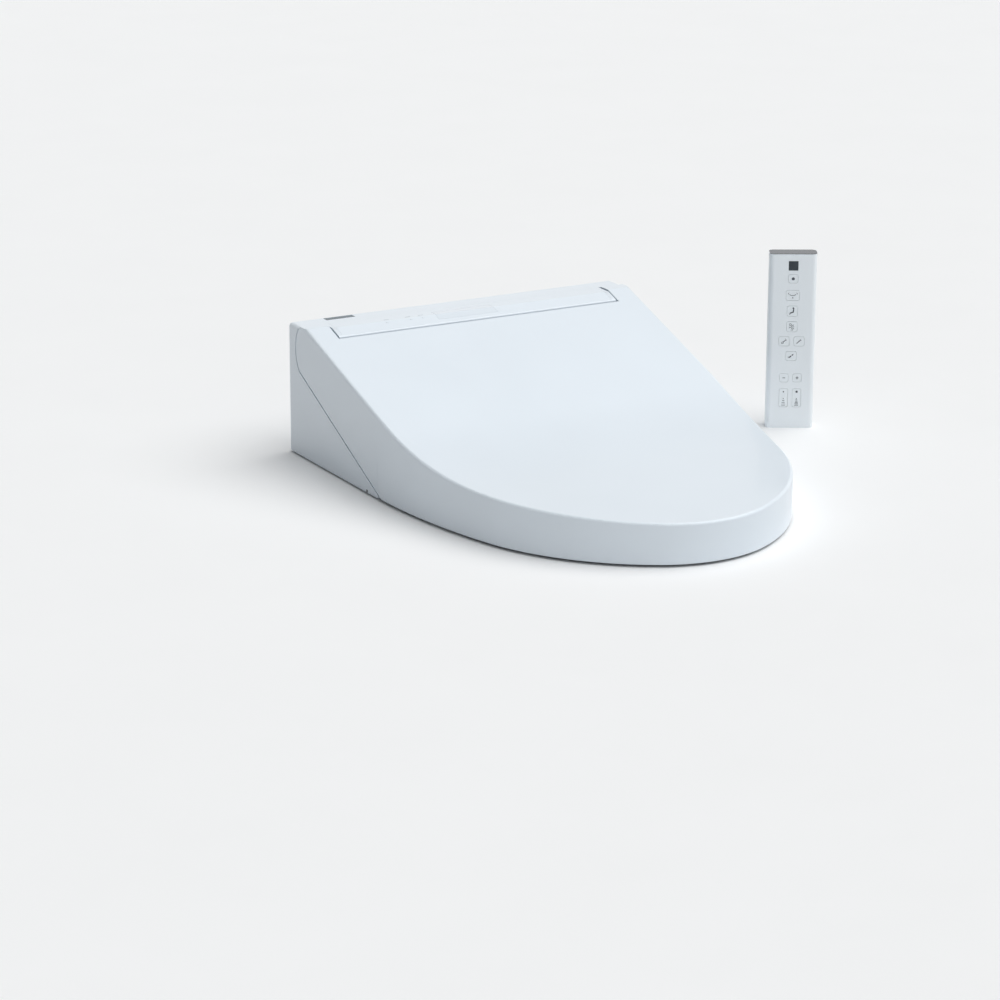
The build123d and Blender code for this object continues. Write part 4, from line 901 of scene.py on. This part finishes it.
@dataclass
class LidTrim:
    """The lid as moulded: its two arms end level with the rear ledge, and its edges are eased.

    Attributes:
        level_z: Level at which the arms end.
        arm_x: Span of the plate over an arm's hollow, from the panel outwards.
        plate: Side view of the plate, from its front over its top and down its tail, and back inside.
        lip: Half width, place from front to back and height of the edge in front of the panel.
        lip_end: Place from front to back and height at which the lip's sides end.
        lip_round: Width of the lip's rounding.
        ease: Width of the eased edges.
    """

    level_z: float = 0.1397
    arm_x: Span = (0.1661, 0.1905)
    plate: tuple[Span, ...] = (
        (0.0185, 0.1369), (0.0185, 0.13972), (0.0292, 0.13972), (0.0312, 0.1370), (0.0334, 0.1335),
        (0.0350, 0.1300), (0.0328, 0.1300), (0.0310, 0.1335), (0.0284, 0.1369),
    )
    lip: Point = (0.166, -0.0075, 0.132176)
    lip_end: Span = (0.01486, 0.1397)
    lip_round: float = 0.0009
    ease: float = 0.0005

    def build(self) -> None:
        """Builds the lid and the plates in its arms."""
        shape = merged("lid_shell")
        everything = [*shape.verts, *shape.edges, *shape.faces]
        bmesh.ops.bisect_plane(shape, geom=everything, dist=MERGE, plane_co=(0.0, 0.0, self.level_z),
                               plane_no=(0.0, 0.0, 1.0), clear_outer=True)
        rim = [edge for edge in shape.edges if edge.is_boundary]
        bmesh.ops.triangle_fill(shape, use_beauty=True, edges=rim, normal=(0.0, 0.0, 1.0))
        flatten(shape, FLAT_DEG)
        ease_sides(shape, self.ease)
        round_rim(shape, self.lip, self.lip_end, self.lip_round)
        seat_piece("lid", shape, "lid", "white_gloss", "lid_shell", even=True)
        self.build_plates()

    def build_plates(self) -> None:
        """Builds the plate and tail that close the inner part of each arm."""
        shape = bmesh.new()
        for side in (-1, 1):
            face = shape.faces.new([shape.verts.new((side * self.arm_x[0], y, z)) for y, z in self.plate])
            made = bmesh.ops.extrude_face_region(shape, geom=[face], use_keep_orig=True)
            reach = side * (self.arm_x[1] - self.arm_x[0])
            bmesh.ops.translate(shape, vec=(reach, 0.0, 0.0), verts=picked(made, Corner))
        bmesh.ops.recalc_face_normals(shape, faces=shape.faces)
        bevel(shape, sharp_edges(shape, PLATE_DEG), self.ease, SMALL_STEPS)
        seat_piece("lid_arm_plates", shape, "lid", "white_gloss", even=True)


@dataclass
class Handset:
    """The remote beside the seat: marks on its keys, its cells and the grip of its cover.

    Attributes:
        middle: Upright middle of the handset on the floor.
        turn_deg: Turn about its middle.
        depth: Depth from front to back.
        height: Height of the handset.
        film: Height of the printed marks.
        mark_scale: Size of the marks on the keys over the drawn one.
        cell_r: Radius of a battery.
        cell_z: Height at which a battery starts.
        cell_length: Length of a battery.
        cell_back: Distance of the batteries' middles from the front.
        cell_gap: Half the gap between the batteries.
        cell_foot: Shares of the radius and heights of the corners at a battery's foot.
        cell_top: Shares of the radius and distances from the top of the corners at its top.
        grip_z: Height of the lowest ridge on the cover.
        grip_size: Length, depth and height of that ridge.
        grip_step: Height from one ridge to the next.
        grip_taper: Length by which each ridge is shorter than the one below it.
        grip_round: Rounding of the ridges.
        grip_count: Number of ridges.
        keys: Place across and down from the top, and sign, of each key.
    """

    middle: Point = (0.318, -0.110, 0.0)
    turn_deg: float = -29.0
    depth: float = 0.020
    height: float = 0.190
    film: float = 0.00010
    mark_scale: float = 1.12
    cell_r: float = 0.00525
    cell_z: float = 0.020
    cell_length: float = 0.0445
    cell_back: float = 0.0125
    cell_gap: float = 0.00025
    cell_foot: tuple[Span, ...] = ((0.0, 0.0), (0.62, 0.0), (0.66, 0.0003), (0.92, 0.0003), (1.0, 0.0009))
    cell_top: tuple[Span, ...] = (
        (1.0, 0.0019), (0.93, 0.0012), (0.45, 0.0012), (0.40, 0.0003), (0.32, 0.0), (0.0, 0.0),
    )
    grip_z: float = 0.071
    grip_size: Point = (0.013, 0.0009, 0.0008)
    grip_step: float = 0.0022
    grip_taper: float = 0.0016
    grip_round: float = 0.00032
    grip_count: int = 4
    keys: dict[str, tuple[float, float, Sign]] = field(default_factory=lambda: {
        "key_stop": (0.0, 0.027, Sign.STOP),
        "key_oscillate": (0.0, 0.045, Sign.SWING),
        "key_rear": (0.0, 0.062, Sign.SEATED),
        "key_dryer": (0.0, 0.079, Sign.WARM_AIR),
        "key_rear_soft": (-0.008, 0.095, Sign.SOFT_SPRAY),
        "key_front": (0.008, 0.095, Sign.FRONT_SPRAY),
        "key_pulse": (0.0, 0.111, Sign.PULSE),
        "key_minus": (-0.007, 0.135, Sign.MINUS),
        "key_plus": (0.007, 0.135, Sign.PLUS),
        "key_pressure": (-0.007, 0.157, Sign.SMALL_GAUGE),
        "key_position": (0.007, 0.157, Sign.LARGE_GAUGE),
    })

    def face(self) -> Matrix:
        """Gives the place of the front face, with y = 0 on it and -y out of it."""
        out = Matrix.Translation((0.0, -self.depth / 2, 0.0))
        return Matrix.Translation(self.middle) @ turned(self.turn_deg, "Z") @ out

    def build(self) -> None:
        """Builds all pieces of the handset."""
        for key, (across, down, sign) in self.keys.items():
            stencil = Stencil(self.film)
            stencil.draw(sign)
            size = Matrix.Diagonal((self.mark_scale, 1.0, self.mark_scale, 1.0))
            place = self.face() @ Matrix.Translation((across, 0.0, self.height - down)) @ size
            seat_piece(f"mark_{key}", stencil.raised(place), key, "black_plastic", finish=INK)
        self.build_cells()
        self.build_grip()

    def build_cells(self) -> None:
        """Builds the two batteries, one of them upside down."""
        r, length = self.cell_r, self.cell_length
        profile = [(r * share, z) for share, z in self.cell_foot]
        profile += [(r * share, length - down) for share, down in self.cell_top]
        shape = bmesh.new()
        for side in (-1, 1):
            at = self.face() @ Matrix.Translation((side * (r + self.cell_gap), self.cell_back, self.cell_z))
            flip = Matrix.Translation((0.0, 0.0, length)) @ turned(180.0, "X")
            lathe(shape, profile, at @ flip if side > 0 else at)
        seat_piece("cells", shape, "main_unit", "battery", "batteries")

    def build_grip(self) -> None:
        """Builds the ridges on the battery cover."""
        shape = bmesh.new()
        length, depth, height = self.grip_size
        for step in range(self.grip_count):
            place = Matrix.Translation((0.0, self.depth, self.grip_z + self.grip_step * step))
            size = Matrix.Diagonal((length - self.grip_taper * step, depth, height, 1.0))
            bmesh.ops.create_cube(shape, size=1.0, matrix=self.face() @ place @ size)
        bevel(shape, shape.edges[:], self.grip_round, SMALL_STEPS)
        seat_piece("cover_grip", shape, "battery_cover", "white_matte", finish=HANDSET_BACK)


@dataclass
class SoftPads:
    """Rubber pads under lid, seat and main unit, with rounded rims and a shallow dish.

    Attributes:
        pads: Body, rim rounding and dish depth for each node of pads, in metres.
        rim: Width of the flat rim round the dish, in metres.
        slope: Width of the dish's slope over its depth.
        down: Upward part of a normal below which a face looks down.
        corners: Number of corners above which a face is round.
    """

    pads: dict[str, tuple[str, float, float]] = field(default_factory=lambda: {
        "bowl_feet": ("main_unit", 0.0005, 0.0003),
        "seat_bumpers": ("seat", 0.0016, 0.0008),
        "lid_bumpers": ("lid", 0.0009, 0.0005),
    })
    rim: float = 0.0022
    slope: float = 1.2
    down: float = -0.99
    corners: int = 8

    def build(self) -> None:
        """Builds the three sets of pads."""
        for node, (body, rounding, dish) in self.pads.items():
            shape = softened(node, rounding)
            lowest = [face for face in shape.faces
                      if face.normal.z < self.down and len(face.verts) > self.corners]
            bmesh.ops.inset_individual(shape, faces=lowest, thickness=self.rim, depth=0.0)
            bmesh.ops.inset_individual(shape, faces=lowest, thickness=dish * self.slope, depth=-dish)
            seat_piece(f"{node}_pads", shape, body, "soft_pad", node)


@dataclass
class WaterInlet:
    """Supply nipple with its pipe thread.

    Attributes:
        axis_y: Place of the axis from front to back.
        axis_z: Height of the axis.
        stem_x: Span of the plain stem.
        nipple_x: Span of the threaded nipple.
        stem_r: Radius of the stem.
        crest_r: Outer radius of the thread.
        root_r: Radius between the thread's crests.
        bore_r: Radius of the bore.
        collar: Places from the nipple's start at which its collar ends and its slope meets the root.
        lead: Chamfer at the nipple's end.
        mouth: Chamfer of the bore.
        steps: Faces round the body.
        pitch: Pitch of the thread.
        ridge: Half the ridge's foot over the pitch, and its crest over its foot.
        sink: Depth of the ridge's foot under the root.
        thread_steps: Faces round one turn of the thread.
        thread_in: Distance of the thread's start from the nipple's collar.
        thread_out: Distance kept free at the nipple's end.
    """

    axis_y: float = 0.022
    axis_z: float = 0.026
    stem_x: Span = (0.158, 0.173)
    nipple_x: Span = (0.173, 0.186)
    stem_r: float = 0.006
    crest_r: float = 0.01048
    root_r: float = 0.00955
    bore_r: float = 0.00345
    collar: Span = (0.0014, 0.0019)
    lead: float = 0.0008
    mouth: float = 0.0009
    steps: int = 48
    pitch: float = 0.001814
    ridge: Span = (0.46, 0.16)
    sink: float = 0.0003
    thread_steps: int = 40
    thread_in: float = 0.0026
    thread_out: float = 0.0012

    def build(self) -> None:
        """Builds the turned body and winds the thread on it."""
        shape = bmesh.new()
        low, step, high = self.stem_x[0], self.nipple_x[0], self.nipple_x[1]
        profile = [
            (self.bore_r, low), (self.stem_r, low), (self.stem_r, step), (self.crest_r, step),
            (self.crest_r, step + self.collar[0]), (self.root_r, step + self.collar[1]),
            (self.root_r, high - self.lead), (self.root_r - self.lead, high),
            (self.bore_r + self.mouth, high), (self.bore_r, high - self.mouth), (self.bore_r, low),
        ]
        lie = Matrix.Translation((0.0, self.axis_y, self.axis_z)) @ turned(90.0, "Y")
        lathe(shape, profile, lie, self.steps)
        self.wind(shape)
        seat_piece("threaded_inlet", shape, "main_unit", "inlet_brass", "water_inlet")

    def wind(self, shape: Shape) -> None:
        """Winds one ridge of the thread round the nipple.

        Args:
            shape: The bmesh to add to.
        """
        start = self.nipple_x[0] + self.thread_in
        turns = int((self.nipple_x[1] - start - self.thread_out) / self.pitch)
        foot, sunk = self.pitch * self.ridge[0], self.root_r - self.sink
        crest = foot * self.ridge[1]
        section = ((-foot, sunk), (-crest, self.crest_r), (crest, self.crest_r), (foot, sunk))
        centre = Vector((start, self.axis_y, self.axis_z))
        corners = [shape.verts.new(centre + Vector((x, 0.0, radius))) for x, radius in section]
        face = shape.faces.new(corners)
        bmesh.ops.spin(shape, geom=[face, *face.edges, *corners], cent=centre, axis=(1, 0, 0),
                       dvec=(self.pitch / self.thread_steps, 0.0, 0.0), angle=math.tau * turns,
                       steps=self.thread_steps * turns, use_merge=False, use_normal_flip=False)


@dataclass
class CaseScrews:
    """Four cross-recessed screws under the main unit.

    Attributes:
        places: Middles of the screws.
        face_z: Level of the heads' faces.
        seat_z: Level under the heads.
        end_z: Level of the screws' ends.
        head_r: Radius of a head.
        flat: Share of that radius over which the head's face is flat.
        shoulder: Share of that radius at which the head's rounded edge begins.
        dome: Depths from the face at which that edge begins and ends.
        shank_r: Radius of a shank.
        point: Length of a shank's point.
        recess: Reach and depth of the cross.
        recess_turn_deg: Turn that puts the cross's corners between its arms.
        recess_steps: Corners of the cross.
        recess_near: Share of the reach within which a corner lies between two arms.
        recess_neck: Share of the reach at which such a corner is put.
        recess_taper: Width of the cross at its floor over that at its mouth.
        steps: Faces round a screw.
    """

    places: tuple[Span, ...] = ((-0.148, 0.0495), (0.148, 0.0495), (-0.148, -0.0925), (0.148, -0.0925))
    face_z: float = 0.0004
    seat_z: float = 0.002
    end_z: float = 0.022
    head_r: float = 0.0036
    flat: float = 0.62
    shoulder: float = 0.9
    dome: Span = (0.0004, 0.0009)
    shank_r: float = 0.0016
    point: float = 0.002
    recess: Span = (0.0019, 0.0011)
    recess_turn_deg: float = 15.0
    recess_steps: int = 12
    recess_near: float = 0.2
    recess_neck: float = 0.42
    recess_taper: float = 0.7
    steps: int = 24

    def build(self) -> None:
        """Builds the four screws as one piece."""
        shape = bmesh.new()
        for x, y in self.places:
            self.add_screw(shape, Matrix.Translation((x, y, 0.0)))
        seat_piece("cross_screws", shape, "main_unit", "steel", "case_screws")

    def add_screw(self, shape: Shape, place: Matrix) -> None:
        """Adds one screw.

        Args:
            shape: The bmesh to add to.
            place: Place of the screw's axis.
        """
        rim = self.head_r * self.flat
        profile = [
            (rim, self.face_z), (self.head_r * self.shoulder, self.face_z + self.dome[0]),
            (self.head_r, self.face_z + self.dome[1]), (self.head_r, self.seat_z),
            (self.shank_r, self.seat_z), (self.shank_r, self.end_z - self.point), (0.0, self.end_z),
        ]
        lathe(shape, profile, place, self.steps)
        reach, depth = self.recess
        face = place @ Matrix.Translation((0.0, 0.0, self.face_z))
        outer = bmesh.ops.create_circle(shape, segments=self.steps, radius=rim, matrix=face)["verts"]
        cross = bmesh.ops.create_circle(shape, segments=self.recess_steps, radius=reach,
                                        matrix=face @ turned(self.recess_turn_deg, "Z"))["verts"]
        middle = face.translation
        for vert in cross:
            arm = vert.co - middle
            if abs(abs(arm.x) - abs(arm.y)) < reach * self.recess_near:
                vert.co = middle + arm * self.recess_neck
        bmesh.ops.bridge_loops(shape, edges=self.ring(shape, outer) + self.ring(shape, cross))
        sunk = bmesh.ops.extrude_edge_only(shape, edges=self.ring(shape, cross))
        floor = picked(sunk, Corner)
        bmesh.ops.translate(shape, vec=(0.0, 0.0, depth), verts=floor)
        bmesh.ops.scale(shape, vec=(self.recess_taper, self.recess_taper, 1.0), verts=floor,
                        space=Matrix.Translation(-middle))
        bmesh.ops.contextual_create(shape, geom=picked(sunk, Edge))

    @staticmethod
    def ring(shape: Shape, corners: list[Corner]) -> list[Edge]:
        """Lists the edges between the corners of one ring."""
        return [edge for edge in shape.edges if all(vert in corners for vert in edge.verts)]


@dataclass
class CaseTrim:
    """Trim of the main unit: eased case, rounded button and gland, wing plugs and panel marks.

    Attributes:
        plug_at: Place of the right-hand plug's middle on the wing.
        plug_size: Depth, length and height of a plug.
        plug_round: Rounding of a plug.
        lens_x: Middles of the three lights.
        mark_y: Line of the marks in front of the lights.
        mark_z: Level of the panel there.
        mark_bar: Length and width of a mark's bar, in millimetres.
        mark_dot: Place of its dot to the right and up, and the dot's radius, in millimetres.
        slope_deg: Slope of the panel there.
        film: Height of the printed marks.
        strip: Half width, place from front to back and height of the panel strip's front edge.
        strip_end: Place from front to back and height at which that edge's corners end.
        strip_round: Width of that edge's rounding.
        ease: Width of the case's eased edges.
        rounded: Body, width of the rounding and slot of each node with rounded edges.
    """

    plug_at: Point = (0.193, -0.120, 0.0036)
    plug_size: Point = (0.0008, 0.0024, 0.0032)
    plug_round: float = 0.00028
    lens_x: tuple[float, ...] = (-0.1035, -0.0755, -0.0615)
    mark_y: float = 0.0085
    mark_z: float = 0.13756
    mark_bar: Span = (1.5, 0.7)
    mark_dot: Point = (1.5, -0.6, 0.35)
    slope_deg: float = 18.6
    film: float = 0.00008
    strip: Point = (0.1645, -0.0050, 0.13302)
    strip_end: Span = (-0.0045, 0.13302)
    strip_round: float = 0.0016
    ease: float = 0.0005
    rounded: dict[str, tuple[str, float, str]] = field(default_factory=lambda: {
        "release_button": ("release_button", 0.0008, "white_gloss"),
        "power_inlet": ("main_unit", 0.0009, "black_plastic"),
    })

    def build(self) -> None:
        """Builds the trim."""
        self.build_case()
        for node, (body, width, slot) in self.rounded.items():
            seat_piece(f"{node}_rounded", softened(node, width), body, slot, node)
        self.build_plugs()
        self.build_marks()

    def build_case(self) -> None:
        """Builds the upper case with the edges along its sides eased."""
        shape = merged("upper_case")
        flatten(shape, FLAT_DEG)
        ease_sides(shape, self.ease)
        round_rim(shape, self.strip, self.strip_end, self.strip_round)
        seat_piece("case", shape, "main_unit", "white_gloss", "upper_case", even=True)

    def build_plugs(self) -> None:
        """Builds the dark plug at the lower edge of each wing."""
        shape = bmesh.new()
        for side in (-1, 1):
            place = Matrix.Translation((side * self.plug_at[0], *self.plug_at[1:]))
            bmesh.ops.create_cube(shape, size=1.0, matrix=place @ Matrix.Diagonal((*self.plug_size, 1.0)))
        bevel(shape, shape.edges[:], self.plug_round, SMALL_STEPS)
        seat_piece("wing_plugs", shape, "main_unit", "black_plastic")

    def build_marks(self) -> None:
        """Prints a small mark in front of each light."""
        stencil = Stencil(self.film)
        for x in self.lens_x:
            stencil.bar(x / MM, 0.0, *self.mark_bar)
            stencil.dot(x / MM + self.mark_dot[0], *self.mark_dot[1:])
        lie = Matrix.Translation((0.0, self.mark_y, self.mark_z)) @ turned(self.slope_deg - 90.0, "X")
        seat_piece("panel_marks", stencil.raised(lie), "main_unit", "lens", finish=PALE_INK)


@dataclass
class Studio:
    """Plain pale floor, soft light and the camera.

    Attributes:
        camera_at: Place of the camera in metres.
        azimuth_deg: Turn of the view to the right of straight on.
        elevation_deg: Angle by which the view looks down.
        roll_deg: Roll of the camera.
        lens: Focal length in millimetres.
        sensor: Width of the sensor in millimetres.
        shift_x: Sideways shift of the frame.
        far: Distance up to which the camera sees, in metres.
        floor_half: Half the floor's side in metres.
        floor_colour: Colour of the floor.
        ambient: Strength of the light from all round.
        ambient_colour: Colour of that light.
        key: Strength of the main lamp.
        key_deg: Tilt of the main lamp from straight down, to the back and to the right.
        fill: Strength of the front lamp.
        fill_deg: Tilt of the front lamp from straight down, and its turn about the upright.
        spread_deg: Angles over which the light of main and front lamp comes.
    """

    camera_at: Point = (-1.7249, -3.1250, 1.0388)
    azimuth_deg: float = -28.99
    elevation_deg: float = 17.21
    roll_deg: float = 0.137
    lens: float = 126.97
    sensor: float = 36.0
    shift_x: float = 0.0165
    far: float = 60.0
    floor_half: float = 14.0
    floor_colour: Rgb = (0.92, 0.927, 0.93)
    ambient: float = 0.16
    ambient_colour: Rgb = (0.96, 0.98, 1.0)
    key: float = 2.52
    key_deg: Span = (10.0, 23.0)
    fill: float = 0.40
    fill_deg: Span = (70.0, -4.0)
    spread_deg: Span = (70.0, 60.0)

    def build(self) -> None:
        """Builds floor, light and camera."""
        self.build_floor()
        self.build_world()
        self.build_lamps()
        self.build_camera()

    def build_floor(self) -> None:
        """Builds the floor under the object."""
        shape = bmesh.new()
        bmesh.ops.create_grid(shape, x_segments=4, y_segments=4, size=self.floor_half)
        finish = MouldedPlastic("floor", self.floor_colour, 0.85, drift=0.004, relief=0.0)
        floor = make_piece("floor", shape, finish)

    def build_world(self) -> None:
        """Gives the same light from all round, and a white background to the camera and in reflections."""
        world = bpy.data.worlds.new("studio")
        bpy.context.scene.world = world
        world.use_nodes = True
        nodes, links = world.node_tree.nodes, world.node_tree.links
        light, white = nodes["Background"], nodes.new("ShaderNodeBackground")
        lit = ((light, self.ambient_colour, self.ambient), (white, (1.0, 1.0, 1.0), 1.0))
        for node, colour, strength in lit:
            node.inputs["Color"].default_value = (*colour, 1.0)
            node.inputs["Strength"].default_value = strength
        rays = nodes.new("ShaderNodeLightPath")
        seen = rays.outputs["Is Camera Ray"]
        for kind in ("Is Glossy Ray", "Is Transmission Ray"):
            either = nodes.new("ShaderNodeMath")
            either.operation = "MAXIMUM"
            links.new(seen, either.inputs[0])
            links.new(rays.outputs[kind], either.inputs[1])
            seen = either.outputs["Value"]
        mix = nodes.new("ShaderNodeMixShader")
        links.new(seen, mix.inputs["Fac"])
        links.new(light.outputs["Background"], mix.inputs[1])
        links.new(white.outputs["Background"], mix.inputs[2])
        links.new(mix.outputs["Shader"], nodes["World Output"].inputs["Surface"])

    def build_lamps(self) -> None:
        """Hangs the main lamp above and the weak one in front."""
        back, right = self.key_deg
        self.lamp("key", self.key, self.spread_deg[0], turned(right, "Y") @ turned(back, "X"))
        tilt, turn = self.fill_deg
        self.lamp("front", self.fill, self.spread_deg[1], turned(turn, "Z") @ turned(tilt, "X"))

    def lamp(self, name: str, strength: float, spread_deg: float, turn: Matrix) -> None:
        """Adds one soft lamp.

        Args:
            name: Name of the lamp.
            strength: Strength of the lamp.
            spread_deg: Angle over which the light comes.
            turn: Turn of the lamp from straight down.
        """
        data = bpy.data.lights.new(name, "SUN")
        data.energy = strength
        data.angle = math.radians(spread_deg)
        add_object(name, data).matrix_world = turn

    def build_camera(self) -> None:
        """Sets the camera at the viewing angle."""
        data = bpy.data.cameras.new("camera")
        data.lens = self.lens
        data.sensor_width = self.sensor
        data.shift_x = self.shift_x
        data.clip_end = self.far
        camera = add_object("camera", data)
        tilt = turned(90.0 - self.elevation_deg, "X") @ turned(self.roll_deg, "Z")
        camera.matrix_world = Matrix.Translation(self.camera_at) @ turned(self.azimuth_deg, "Z") @ tilt
        bpy.context.scene.camera = camera


def main() -> None:
    """Builds and dresses the whole object."""
    logging.basicConfig(level=logging.INFO, format="%(message)s")
    bpy.context.scene.view_settings.view_transform = "Standard"
    Studio().build()
    NodeDresser().dress()
    SoftPads().build()
    CaseScrews().build()
    WaterInlet().build()
    CaseTrim().build()
    LidTrim().build()
    Handset().build()


if __name__ == "__main__":
    main()
